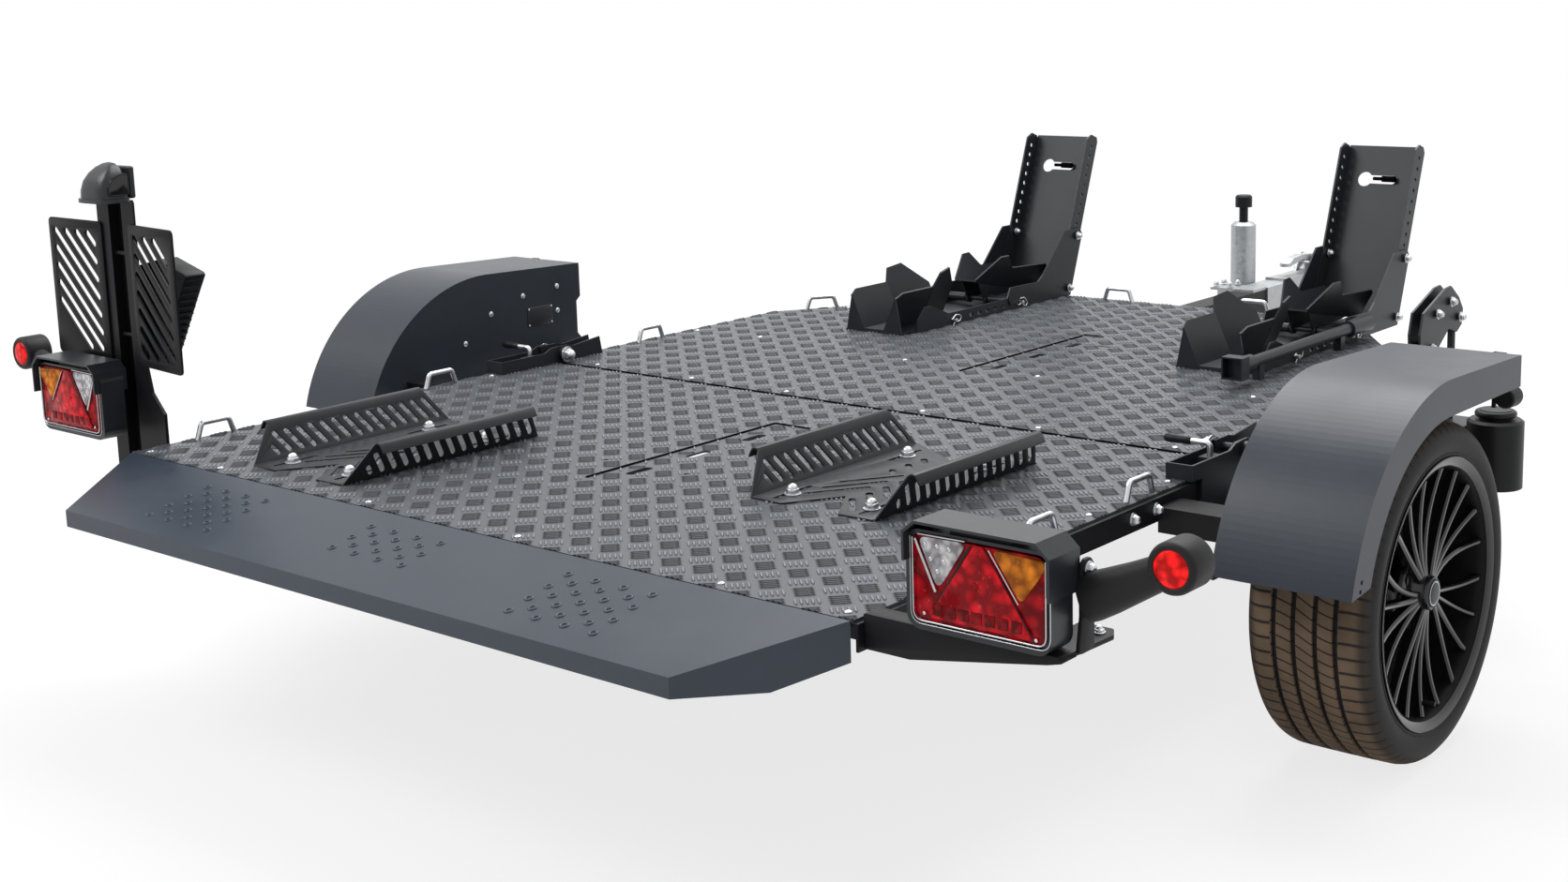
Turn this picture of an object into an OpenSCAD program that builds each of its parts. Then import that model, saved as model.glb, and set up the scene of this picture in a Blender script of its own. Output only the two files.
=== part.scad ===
// Low-deck trailer for two motorcycles: tread-plate deck on a ladder chassis, torsion axle,
// rolled wings, wheel chocks with rocking cradles, guide channels, lamps and a number-plate mast.
// Millimetres. +X right, +Y towards the coupling, +Z up, z = 0 on the ground, y = 0 at the axle
// until placed() sets the origin under the trailer's middle.

/* [Part shown] */
// Which sub-part to draw

/* [Deck] */
// Height of the tread plate's top face
deck_top = 421; // [400:1:450]
// Thickness of the tread plate
deck_t = 4; // [3:0.5:6]
// Half the width of the deck
deck_half = 815; // [780:5:830]
// Rear edge of the deck, measured from the axle
deck_rear = -980; // [-1000:5:-960]
// Seam between the rear and the front plates
deck_seam = 20; // [10:5:30]
// Front edge of the deck
deck_front = 1330; // [1300:5:1350]
// Where the front corners' cut begins
cut_y = 770; // [740:5:800]
// Half the width of the deck's front edge
cut_x = 420; // [380:5:460]
// Length of the sloping rear ramp
ramp_len = 205; // [180:5:230]

/* [Chassis] */
// Middle of each main beam from the centre line
beam_x = 420; // [380:5:460]
// Height of the main beams
beam_h = 40; // [40:5:60]
// Height of the cross members
cross_h = 40; // [30:5:50]
// Middle of the torsion axle's tube, ahead of the wheel
axle_y = 150; // [130:5:170]
// Side of the torsion axle's tube
axle_w = 60; // [50:5:70]

/* [Wheels] */
// Radius of the tyre, which is also the height of the wheel's middle
tyre_r = 265; // [260:1:270]
// Width of the tyre
tyre_w = 195; // [185:5:205]
// Radius of the rim's flange
rim_r = 207; // [200:1:210]
// Middle plane of the wheel from the centre line
track_half = 1076; // [1070:1:1080]

/* [Wings] */
// Radius of the wing's curve
wing_r = 340; // [330:5:350]
// Gap between the tyre and each side of the wing
wing_gap = 11; // [8:1:16]
// Depth of the wing's outer skirt
skirt = 57; // [50:1:65]
// Front edge of the wing, measured from the axle
wing_front = 270; // [250:5:290]

/* [Wheel chocks] */
// Middle of each chock from the centre line
chock_x = 425; // [400:5:440]
// Rear end of the chock's side plates
chock_y = 700; // [690:5:710]
// Half the width inside the side plates
chock_half = 90; // [85:1:95]
// Length of the upright
upright_h = 404; // [380:2:420]
// Lean of the upright from vertical
upright_lean = 20.5; // [10:0.5:25]

/* [Guide channels] */
// Length of each channel
channel_len = 430; // [400:5:460]
// Half the width of the channel's floor
channel_half = 120; // [110:1:130]
// Height of the channel's sides
channel_top = 64; // [55:1:70]
// Rear end of the left channel and of the right one
channel_rear = [-912, -595]; // [-950:5:-550]

/* [Lamps] */
// Width of each tail lamp
lamp_w = 208; // [190:1:230]
// Height of each tail lamp
lamp_h = 126; // [110:1:140]
// Height of the number-plate mast's top
mast_top = 856; // [800:2:900]

/* [Drawbar] */
// Side of the square drawbar
bar_w = 60; // [50:5:80]
// Front end of the drawbar
bar_front = 1740; // [1700:5:1780]
// Middle of the ball socket
ball_y = 1991; // [1960:1:2010]
// Radius of the ball socket, for a 50 mm ball
socket_r = 25.5; // [25.5:0.1:26]

/* [Hidden] */

sheet = 4;              // folded sheet of the brackets, wings and chocks
tube_wall = 3;
seam_gap = 3;
fit = 0.3;              // gap between round faces that sit on each other
bearing = 0.05;         // radial clearance of a pin in its hole

frame_mid = (deck_rear - ramp_len + ball_y + 44) / 2;
under = deck_top - deck_t;
rail_out = deck_half + 8;
rail_h = 37;
rail_w = 33;
beam_top = under - cross_h;
beam_low = beam_top - beam_h;
wing_in = track_half - tyre_w / 2 - wing_gap;
wing_out = track_half + tyre_w / 2 + wing_gap;
wing_c = [-12, tyre_r - 3];

satin = [0.07, 0.07, 0.08];
black = [0.03, 0.03, 0.035];
zinc = [0.72, 0.74, 0.76];
rubber = [0.05, 0.05, 0.05];
red_lens = [0.75, 0.02, 0.03];

// Sets the frame's origin under the trailer's middle.
module placed() {
    translate([0, -frame_mid, 0]) children();
}

module mirrored(side) {
    if (side < 0) mirror([1, 0, 0]) children();
    else children();
}

module both_sides() {
    for (s = [-1, 1]) mirrored(s) children();
}

// A plate drawn in Y and Z, standing from x to x + t.
module side_plate(x, t) {
    translate([x, 0, 0]) rotate([90, 0, 90]) linear_extrude(t) children();
}

// A plate drawn in X and Z, from y to y + t.
module back_plate(y, t) {
    translate([0, y + t, 0]) rotate([90, 0, 0]) linear_extrude(t) children();
}

module rod_x(x0, x1, y, z, r, fn = 24) {
    translate([x0, y, z]) rotate([0, 90, 0]) cylinder(h = x1 - x0, r = r, $fn = fn);
}

module rod_y(y0, y1, x, z, r, fn = 24) {
    translate([x, y0, z]) rotate([-90, 0, 0]) cylinder(h = y1 - y0, r = r, $fn = fn);
}

module rod_z(z0, z1, x, y, r, fn = 24) {
    translate([x, y, z0]) cylinder(h = z1 - z0, r = r, $fn = fn);
}

module box(x0, x1, y0, y1, z0, z1) {
    translate([x0, y0, z0]) cube([x1 - x0, y1 - y0, z1 - z0]);
}

// Square or oblong tubes, open at both ends.
module tube_y(x0, x1, y0, y1, z0, z1, t = tube_wall) {
    difference() {
        box(x0, x1, y0, y1, z0, z1);
        box(x0 + t, x1 - t, y0 - 1, y1 + 1, z0 + t, z1 - t);
    }
}

module tube_x(x0, x1, y0, y1, z0, z1, t = tube_wall) {
    difference() {
        box(x0, x1, y0, y1, z0, z1);
        box(x0 - 1, x1 + 1, y0 + t, y1 - t, z0 + t, z1 - t);
    }
}

// A rectangle from the origin with round corners.
module rounded(w, h, r) {
    translate([r, 0]) square([w - 2 * r, h]);
    translate([0, r]) square([w, h - 2 * r]);
    for (x = [r, w - r], z = [r, h - r]) translate([x, z]) circle(r = r, $fn = 24);
}

// A slot with round ends about a point.
module slot(p, w, l, turn = 0) {
    translate(p) rotate(turn) {
        square([l - w, w], center = true);
        for (e = [-1, 1]) translate([e * (l - w) / 2, 0]) circle(d = w, $fn = 16);
    }
}

function reversed(v) = [for (i = [len(v) - 1:-1:0]) v[i]];

// Half the deck's width at a place along Y, past the cut corners.
function half_at(y) = y < cut_y ? deck_half
    : deck_half - (deck_half - cut_x) * (y - cut_y) / (deck_front - cut_y);

// Chassis: two main beams, cross members on them, and the torsion axle under them.
cross_rear = [deck_rear + 65, -560, -200];
cross_front = [330, 640, 960];
wing_arm_w = 66;
wing_arm_y = [-207, 220];
wing_arm_z = [under - 54, under - 14];

module chassis_beams() placed() color(satin) both_sides()
    tube_y(beam_x - 20, beam_x + 20, deck_rear + 12, 1050, beam_low, beam_top);

module cross_members() placed() color(satin) {
    for (y = cross_rear) tube_x(27 - deck_half, deck_half - 27, y - 20, y + 20, beam_top, under);
    both_sides() {
        for (y = cross_front) tube_x(bar_w / 2, half_at(y) - 60, y - 20, y + 20, beam_top, under);
        for (y = wing_arm_y)
            tube_x(rail_out, wing_in, y - wing_arm_w / 2, y + wing_arm_w / 2, wing_arm_z[0], wing_arm_z[1]);
    }
}

module side_rails() placed() color(satin) both_sides()
    translate([0, cut_y - 22, 0]) rotate([90, 0, 0]) linear_extrude(cut_y - 22 - deck_rear) polygon([
        [rail_out - rail_w, under], [rail_out, under], [rail_out, under - rail_h],
        [rail_out - sheet, under - rail_h], [rail_out - sheet, under - sheet],
        [rail_out - rail_w, under - sheet]]);

// An angle section along the line from p to q, with its upright leg on the outside.
module edge_rail(p, q) {
    along = q - p;
    translate([p[0], p[1], 0]) rotate([0, 0, atan2(along[1], along[0])]) rotate([90, 0, 90])
        linear_extrude(norm(along)) polygon([[0, under], [rail_w, under], [rail_w, under - sheet],
            [sheet, under - sheet], [sheet, under - rail_h], [0, under - rail_h]]);
}

module front_rails() placed() color(satin) both_sides() {
    edge_rail([rail_out - 3, cut_y + 6], [cut_x + 9, deck_front + 3]);
    edge_rail([cut_x, deck_front + 6], [bar_w / 2 + 1, deck_front + 6]);
}

axle_half = wing_in - 68;
axle_z = beam_low - axle_w / 2;

module axle_beam() placed() color(satin) {
    tube_x(-axle_half, axle_half, axle_y - axle_w / 2, axle_y + axle_w / 2, beam_low - axle_w, beam_low, 4);
}

// The swinging arm of the torsion axle, with the stub axle and the brake drum at its end.
module axle_arm(side) placed() color(satin) mirrored(side) {
    rod_x(axle_half, axle_half + 45, axle_y, axle_z, 34, 36);
    rod_x(axle_half, axle_half + 45, 0, tyre_r, 30, 36);
    side_plate(axle_half + 5, 36) polygon([[axle_y, axle_z + 34], [0, tyre_r + 30], [0, tyre_r - 30],
        [axle_y, axle_z - 34]]);
    rod_x(axle_half + 44, track_half + 39, 0, tyre_r, 20, 36);
    rod_x(track_half - 76, track_half - 26, 0, tyre_r, 105, 48);
}

// Deck: two tread plates with a seam between them, each with the cut line of a centre hatch.
module rear_deck() placed() color(satin) translate([0, 0, under]) linear_extrude(deck_t) difference() {
    polygon([[-deck_half, deck_rear], [deck_half, deck_rear], [deck_half, deck_seam - seam_gap / 2],
        [-deck_half, deck_seam - seam_gap / 2]]);
    translate([-4, -654]) square([8, 480]);
    translate([-4, -180]) square([86, 6]);
    for (i = [0:2]) slot([43, -573 + i * 144], 18, 56, 90);
    for (p = [[-61, -547], [122, -545], [-307, -247]]) translate(p) circle(d = 9, $fn = 24);
}

module front_deck() placed() color(satin) translate([0, 0, under]) linear_extrude(deck_t) difference() {
    polygon([[-deck_half, deck_seam + seam_gap / 2], [deck_half, deck_seam + seam_gap / 2],
        [deck_half, cut_y], [cut_x, deck_front], [-cut_x, deck_front], [-deck_half, cut_y]]);
    translate([-4, 398]) square([8, 480]);
    translate([-4, 872]) square([52, 6]);
    for (i = [0:2]) slot([43, 476 + i * 142], 18, 52, 90);
    slot([106, 780], 8, 36);
    translate([158, 537]) circle(d = 9, $fn = 24);
}

ramp_back = deck_rear - ramp_len;
ramp_half = deck_half - 125;    // half the width of the ramp's rear edge
ramp_drop = 41;                 // fall of the ramp's top face
ramp_lip = 28;                  // height of the rear lip

// The ramp as a solid wedge, or its hollow when inset by the sheet.
module ramp_form(inset, past) {
    front = deck_rear - 3 + past;
    intersection() {
        side_plate(-deck_half, 2 * deck_half) polygon([[front, deck_top - inset],
            [ramp_back + inset, deck_top - ramp_drop - inset * 1.02],
            [ramp_back + inset, deck_top - ramp_drop - ramp_lip - past],
            [ramp_back + 110, deck_top - ramp_drop - ramp_lip - 10 - past], [front, deck_top - 55 - past]]);
        translate([0, 0, deck_top - 200]) linear_extrude(300) polygon([
            [-deck_half + inset, deck_rear + past], [deck_half - inset, deck_rear + past],
            [ramp_half - inset, ramp_back], [-ramp_half + inset, ramp_back]]);
    }
}

module rear_ramp() placed() color(satin) {
    difference() {
        ramp_form(0, 0);
        ramp_form(sheet, 20);
    }
    box(35 - deck_half, deck_half - 35, deck_rear - 4, deck_rear + 40, under - sheet, under);
}

// Drawbar and coupling.
ball_z = deck_top - 36;
socket_body = 44;
lever_pin = [ball_y - 14, ball_z + 75];

module drawbar() placed() color(satin)
    tube_y(-bar_w / 2, bar_w / 2, 250, bar_front, under - bar_w, under, 4);

module coupling_head() placed() color(zinc) {
    half = bar_w / 2 + 4;
    difference() {
        union() {
            box(-half, half, bar_front - 60, bar_front + 70, under - bar_w, under + 4);
            translate([0, 0, ball_z]) linear_extrude(under + 10 - ball_z) polygon([
                [-half, bar_front + 60], [half, bar_front + 60], [28, bar_front + 130], [30, ball_y - 30],
                [40, ball_y], [-40, ball_y], [-30, ball_y - 30], [-28, bar_front + 130]]);
            rod_z(ball_z, ball_z + 48, 0, ball_y, socket_body, 48);
            translate([0, ball_y, ball_z + 48]) cylinder(h = 12, r1 = socket_body, r2 = 30, $fn = 48);
            both_sides() side_plate(19, 6) polygon([[lever_pin[0] - 40, under],
                [lever_pin[0] - 15, lever_pin[1] + 6], [lever_pin[0] - 6, lever_pin[1] + 12], [lever_pin[0] + 8, lever_pin[1] + 12],
                [lever_pin[0] + 16, ball_z + 50]]);
        }
        box(-bar_w / 2, bar_w / 2, bar_front - 61, bar_front, under - bar_w - 1, under);
        box(-bar_w / 2, bar_w / 2, bar_front - 1, bar_front + 60, under - bar_w - 1, under - 2);
        rod_z(ball_z - 1, ball_z + 34, 0, ball_y, socket_r, 48);
        rod_x(-40, 40, lever_pin[0], lever_pin[1], 5 + bearing);
    }
}

module coupling_lever() placed() color(zinc) {
    rod_x(-29, 29, lever_pin[0], lever_pin[1], 5);
    rod_x(-17, 17, lever_pin[0], lever_pin[1], 10);
    both_sides() rod_x(25 + fit, 29, lever_pin[0], lever_pin[1], 8);
    side_plate(-11, 22) polygon([for (p = [[8, 4], [2, 10], [-60, 14], [-110, 10], [-132, 0], [-132, -8],
        [-110, -6], [-60, 2], [-8, -4]]) lever_pin + p]);
    rod_z(lever_pin[1] - 8, lever_pin[1], 0, lever_pin[0] - 132, 15, 32);
}

// Parking jack, clamped to the side of the drawbar.
jack_r = 31;
jack = [-bar_w / 2 - jack_r - 8, bar_front + 5];
jack_low = 250;
jack_high = deck_top + 154;
jack_bore = jack_r - 4;
leg_r = jack_bore - 2;

module jack_tube() placed() color(zinc) difference() {
    union() {
        rod_z(jack_low, jack_high - 8, jack[0], jack[1], jack_r, 48);
        translate([jack[0], jack[1], jack_high - 8]) cylinder(h = 8, r1 = jack_r, r2 = jack_r - 9, $fn = 48);
        rod_z(under - 45, under - 2, jack[0], jack[1], jack_r + 3, 48);
        box(jack[0], -bar_w / 2, bar_front - 130, bar_front - 62, under - 50, under + 6);
        box(jack[0], -bar_w / 2 - 6, bar_front - 64, jack[1], under - 50, under - 2);
        box(jack[0] - 20, bar_w / 2, bar_front - 130, bar_front - 62, under, under + 6);
    }
    rod_z(jack_low - 1, jack_high - 16, jack[0], jack[1], jack_bore, 48);
    rod_z(jack_high - 30, jack_high + 10, jack[0], jack[1], 6 + bearing);
}

module jack_leg() placed() color(zinc) translate([jack[0], jack[1], 0]) {
    cylinder(h = 8, r = 62, $fn = 48);
    translate([0, 0, 8]) cylinder(h = 30, r1 = 40, r2 = leg_r, $fn = 48);
    cylinder(h = jack_high - 85, r = leg_r, $fn = 48);
    translate([0, 0, jack_low - 12]) cylinder(h = 12, r = jack_r, $fn = 48);
}

module jack_knob() placed() color(black) translate([jack[0], jack[1], jack_high]) {
    translate([0, 0, -14]) cylinder(h = 16, r = 6, $fn = 24);
    translate([0, 0, fit]) cylinder(h = 40, r = 11, $fn = 24);
    translate([0, 0, 38]) cylinder(h = 26, r = 21, $fn = 32);
    translate([0, 0, 64]) cylinder(h = 4, r1 = 21, r2 = 17, $fn = 32);
}

// Wings: a rolled top sheet with an outer skirt and a closed inner panel.
arc_steps = 39;
arc_end = 88;

function wing_path(r, a0 = 166) = [for (i = [0:arc_steps]) let (a = a0 + (arc_end - a0) * i / arc_steps)
    [wing_c[0] + r * cos(a), wing_c[1] + r * sin(a)]];

function wing_end(r) = [wing_front, wing_c[1] + r * sin(arc_end) - 9];

module wing(side) placed() color(satin) mirrored(side) difference() {
    union() {
        side_plate(wing_in, wing_out - wing_in) polygon(concat(wing_path(wing_r), [wing_end(wing_r)],
            [wing_end(wing_r - sheet)], reversed(wing_path(wing_r - sheet))));
        side_plate(wing_out - sheet, sheet) polygon(concat(wing_path(wing_r - 1), [wing_end(wing_r - 1)],
            [wing_end(wing_r - skirt + 6)], reversed(wing_path(wing_r - skirt, 162))));
        side_plate(wing_in, sheet) polygon(concat(wing_path(wing_r - 1), [wing_end(wing_r - 1)],
            [for (p = [[0, 255], [-12, 245], [-12, 172], [0, 158], [0, 76]]) [wing_front, wing_c[1]] + p],
            [[wing_path(wing_r)[0][0] + 2, wing_c[1] + 76]]));
    }
    for (a = [161, 163.4]) rod_x(wing_out - 10, wing_out + 10, wing_c[0] + (wing_r - 24) * cos(a),
        wing_c[1] + (wing_r - 24) * sin(a), 3.5, 16);
}

// Wheels: ribbed tyre on a rim whose thin curved spokes stand in five groups of four.
rim_seat = rim_r - 7;

module turned() {
    rotate([0, 90, 0]) rotate_extrude($fn = 72) rotate(-90) mirror([1, 0]) children();
}

// X from the wheel's middle, and radius.
module tyre_section() {
    h = tyre_w / 2;
    difference() {
        polygon([[-h + 8, rim_seat], [-h + 8, rim_r], [-h + 2, rim_r + 8], [-h, rim_r + 22],
            [-h + 2, rim_r + 38], [-h + 9, rim_r + 50], [-h + 20, tyre_r - 1.5], [-h + 30, tyre_r],
            [h - 30, tyre_r], [h - 20, tyre_r - 1.5], [h - 9, rim_r + 50], [h - 2, rim_r + 38],
            [h, rim_r + 22], [h - 2, rim_r + 8], [h - 8, rim_r], [h - 8, rim_seat]]);
        for (x = [-48, -17, 17, 48]) translate([x - 4, tyre_r - 7]) square([8, 8]);
    }
}

module tyre(side) placed() color(rubber) translate([side * track_half, 0, tyre_r])
    turned() tyre_section();

spoke_root = 40;
spoke_tip = rim_seat - 5;

// One thin curved spoke; lead is how far its root runs round ahead of its tip.
module spoke(lead) {
    n = 6;
    function at(k, w) = let (r = spoke_root + (spoke_tip - spoke_root) * k,
        a = lead * (1 - k) * (1 - k) + w / r * 57.3) [r * cos(a), r * sin(a)];
    polygon(concat([for (i = [0:n]) at(i / n, 5.5 - i * 0.25)],
        [for (i = [n:-1:0]) at(i / n, -5.5 + i * 0.25)]));
}

module rim(side) placed() color(black) translate([side * track_half, 0, tyre_r]) mirrored(side) {
    h = tyre_w / 2;
    turned() polygon([[-h + 3, rim_seat - 10], [-h + 3, rim_r - 1], [-h + 7.7, rim_r - 1],
        [-h + 7.7, rim_seat - fit], [h - 7.7, rim_seat - fit], [h - 7.7, rim_r - 1], [h - 3, rim_r - 1],
        [h - 3, rim_seat - 6], [h - 10, rim_seat - 10], [h - 34, rim_seat - 10], [h - 60, rim_seat - 18],
        [-h + 40, rim_seat - 18], [-h + 20, rim_seat - 14]]);
    translate([h - 26, 0, 0]) rotate([90, 0, 90]) linear_extrude(16) difference() {
        union() {
            for (g = [0:4], k = [0:3]) rotate(g * 72 + k * 18) spoke(14);
            circle(r = 62, $fn = 60);
            difference() {
                circle(r = rim_seat - 5, $fn = 72);
                circle(r = rim_seat - 13, $fn = 72);
            }
        }
        for (g = [0:4]) rotate(g * 72 + 20) translate([46, 0]) circle(r = 7, $fn = 20);
    }
    difference() {
        rod_x(-24, h - 24, 0, 0, 56, 48);
        rod_x(-25, 45, 0, 0, 20 + bearing, 36);
    }
    rod_x(h - 11, h - 5, 0, 0, 30, 40);
}

// Fold brackets at the seam, each with a big pivot bolt and a lock handle.
fold_in = deck_half - 36;
fold_out = rail_out + 4;
fold_mid = (fold_in + fold_out) / 2;

module fold_bracket(side) placed() color(satin) mirrored(side) translate([0, deck_seam, deck_top]) {
    box(fold_in, fold_out, -160, -23, 0, sheet);
    for (x = [fold_in, fold_out - sheet]) side_plate(x, sheet) polygon([[-160, 0], [-160, 26], [-38, 26],
        [-20, 34], [2, 36], [18, 26], [18, 0]]);
    box(fold_in, fold_out, -160, -156, 0, 26);
    difference() {
        box(fold_in + 12, fold_out - 12, -78, -42, sheet - 1, 20);
        rod_z(6, 40, fold_mid, -60, 5 + bearing);
    }
    side_plate(fold_out - sheet, sheet) polygon([[-130, 1], [-130, -51], [-116, -64], [-23, -64], [24, -29],
        [44, 1]]);
    box(fold_in + sheet + 0.5, fold_out - sheet - 0.5, -14, 135, 0, sheet);
    for (x = [fold_in + sheet + 0.5, fold_out - 2 * sheet - 0.5]) side_plate(x, sheet)
        polygon([[-14, 0], [135, 0], [128, 38], [50, 30], [30, 34], [-14, 34]]);
    rod_x(fold_in - 12, fold_out + 12, 14, 18, 8);
    rod_x(fold_in - 12, fold_in, 14, 18, 14, 32);
    rod_x(fold_out, fold_out + 10, 14, 18, 14, 32);
}

// Both handles point to the left when locked.
module lock_handle(side) placed() color(zinc) translate([side * fold_mid, deck_seam - 60, deck_top]) {
    rod_z(8, 40, 0, 0, 5);
    rod_x(-36, 2, 0, 40, 5);
    rod_x(-84, -34, 0, 40, 7.5);
}

// Tail lamps: housing with a bent hood, lens, and the arm that carries them and the side marker.
lamp_x = rail_out + 77;
lamp_z = deck_top + 9;
lamp_y = deck_rear + 8;
hood_z = lamp_z + lamp_h + 13;
bezel = 7;

// The hood's outline, seen from behind, inset by t.
function hood_line(t) = [[lamp_x + 2 + t, lamp_z + 87], [lamp_x + 2 + t, lamp_z + lamp_h - 2 - t / 2],
    [lamp_x + 20 + t / 2, hood_z - t], [lamp_x + lamp_w - 14 - t / 2, hood_z - t],
    [lamp_x + lamp_w + 5 - t, lamp_z + lamp_h - 4 - t / 2], [lamp_x + lamp_w + 5 - t, lamp_z + 70]];

module tail_lamp(side) placed() color(black) mirrored(side) {
    back_plate(lamp_y, 38) translate([lamp_x, lamp_z]) rounded(lamp_w, lamp_h, 20);
    back_plate(lamp_y - 8, 9) difference() {
        translate([lamp_x, lamp_z]) rounded(lamp_w, lamp_h, 20);
        translate([lamp_x + bezel, lamp_z + bezel]) rounded(lamp_w - 2 * bezel, lamp_h - 2 * bezel, 14);
    }
    back_plate(lamp_y - 20, 66) polygon(concat(hood_line(0), reversed(hood_line(3.5))));
    box(lamp_x + 60, lamp_x + 150, lamp_y, lamp_y + 36, lamp_z + lamp_h - 4, hood_z - 1);
}

module tail_lens(side) placed() color(red_lens) mirrored(side)
    back_plate(lamp_y - 10, 10) translate([lamp_x + bezel + fit, lamp_z + bezel + fit])
        rounded(lamp_w - 2 * (bezel + fit), lamp_h - 2 * (bezel + fit), 13.7);

marker_lamp = [lamp_x + 336, lamp_z + 117];
marker_r = 34;

module lamp_arm(side) placed() mirrored(side) {
    right = lamp_x + lamp_w;
    color(satin) back_plate(lamp_y + 2, 32) polygon([[rail_out, lamp_z - 47], [rail_out, lamp_z - fit],
        [right + 4, lamp_z - fit], [right - 10, lamp_z - 11], [lamp_x - 5, lamp_z - 47]]);
    color(satin) box(right - 12, right + 47, lamp_y + 2, lamp_y + 50, lamp_z - 10, lamp_z - fit);
    color(satin) box(right + 5 + fit, right + 11, lamp_y + 6, lamp_y + 44, lamp_z - 5, lamp_z + 124);
    color(zinc) for (z = [lamp_z + 33, lamp_z + 111])
        rod_x(right + 10, right + 21, lamp_y + 25, z, 9);
    color(rubber) back_plate(lamp_y + 12, 44) polygon([for (p = [[-118, -89], [-60, -62], [-18, -30],
        [10, -10], [-10, 22], [-34, 8], [-72, -18], [-118, -38]]) marker_lamp + p]);
    color(rubber) rod_y(lamp_y + 20, lamp_y + 70, marker_lamp[0], marker_lamp[1], marker_r, 40);
}

module front_marker(side) placed() color(rubber) mirrored(side) {
    top = wing_end(wing_r - sheet)[1] - fit;
    x = wing_out - 55;
    box(x, x + 20, wing_front - 30, wing_front + 30, top - 6, top);
    box(x, x + 6, wing_front + 24, wing_front + 30, top - 48, top - 1);
    rod_y(wing_front + 26, wing_front + 66, x + 20, top - 43, 18, 36);
}

// Number-plate mast on the left rear corner: a slotted folded post, two wings, lamp and wedge.
mast_x = rail_out + 106;
mast_y = deck_rear + 75;
mast_low = deck_top - 76;
slot_half = 21;
post_half = 60;
wings_z = [mast_top - 297, mast_top - 40];
wing_turn = 6;

module plate_mast() placed() color(satin) {
    translate([-mast_x, mast_y, 0]) {
        both_sides() {
            box(slot_half, post_half, 0, sheet, mast_low, mast_top);
            box(slot_half, slot_half + sheet, 0, 24, mast_low, mast_top);
        }
        box(-slot_half - sheet, slot_half + sheet, 20, 24, mast_low, mast_top);
        for (z = [mast_top - 246, mast_top - 96]) rod_x(-slot_half - 2, slot_half + 2, 10, z, 4, 16);
    }
    back_plate(mast_y, 6) polygon([[-rail_out, lamp_z - 45], [-rail_out, lamp_z + 44],
        [-rail_out - 35, lamp_z + 80], [post_half - mast_x - 2, lamp_z + 136],
        [post_half - mast_x - 2, lamp_z - 45]]);
}

module wing_panel(w) {
    h = wings_z[1] - wings_z[0];
    difference() {
        rounded(w, h, 12);
        intersection() {
            translate([20, 20]) square([w - 40, h - 40]);
            for (i = [-3:6]) translate([w / 2, 20 + i * 36]) rotate(-48) square([300, 11], center = true);
        }
    }
}

module plate_wings() placed() color(satin) {
    back_plate(mast_y - sheet, sheet) translate([-mast_x - 225, wings_z[0]]) wing_panel(180);
    translate([44 - mast_x, mast_y - sheet, wings_z[0]]) rotate([90, 0, -wing_turn]) mirror([0, 0, 1])
        linear_extrude(sheet) wing_panel(165);
}

module plate_lamp() placed() color(black) translate([-mast_x, mast_y, mast_top]) {
    box(-48, 48, -50, 24, 0, 8);
    difference() {
        intersection() {
            side_plate(-45, 90) polygon([[-46, 0], [-46, 22], [-41, 42], [-31, 57], [-15, 67], [4, 70], [17, 66],
                [23, 52], [23, 0]]);
            back_plate(-60, 100) polygon([[-45, -1], [-45, 46], [-38, 61], [-26, 70], [26, 70], [38, 61], [45, 46],
                [45, -1]]);
        }
        both_sides() side_plate(41, 10) polygon([[-34, 14], [-34, 30], [-26, 44], [-12, 51], [10, 51], [10, 14]]);
    }
}

module wheel_wedge() placed() color(black) translate([-mast_x, 0, mast_top]) back_plate(mast_y + 24, 74)
    polygon([[-72, -291], [90, -311], [118, -266], [152, -217], [201, -132], [124, -78], [-72, -116]]);

// Guide channels. Right half of the section: up the outside, under and over the rolled lip, and
// down the inside.
channel_lean = 24;
half_section = [[channel_half, 0], [channel_half + channel_lean - 1, channel_top - 4],
    [channel_half + channel_lean + 9, channel_top - 5.5], [channel_half + channel_lean + 14, channel_top - 14],
    [channel_half + channel_lean + 18, channel_top - 14], [channel_half + channel_lean + 12, channel_top - 2],
    [channel_half + channel_lean - 2, channel_top], [channel_half - 3, 3]];
side_slots = 14;
slot_pitch = (channel_len - 52) / side_slots;

module channel(side) placed() color(satin)
    translate([side * chock_x, channel_rear[side > 0 ? 1 : 0], deck_top]) difference() {
        translate([0, channel_len, 0]) rotate([90, 0, 0]) linear_extrude(channel_len)
            polygon(concat([for (p = reversed(half_section)) [-p[0], p[1]]], half_section));
        for (i = [0:side_slots - 1], s = [-1, 1]) mirrored(s) side_plate(channel_half - 10, 60)
            translate([36 + i * slot_pitch, 0]) polygon([[0, 14], [11, 14], [15, channel_top - 22],
                [4, channel_top - 22]]);
        translate([0, 0, -1]) linear_extrude(8) {
            polygon([[-55, -1], [55, -1], [0, 85]]);
            for (i = [1:4], s = [-1, 1]) mirrored(s) translate([0, 85 + i * 34]) rotate(-58)
                translate([12, -4]) square([62, 8]);
        }
        side_plate(-200, 400) polygon([[-1, 12], [-1, channel_top + 20], [62, channel_top + 20],
            [46, channel_top - 9]]);
    }

// Wheel chocks, drawn from the rear end of their side plates and from the deck's top.
pivot = [375, 22];
pivot_r = 6;
foot_y = 634;
cradle_lean = 24;

module at_chock(side) {
    placed() color(satin) translate([side * chock_x, chock_y, deck_top]) children();
}

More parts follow.
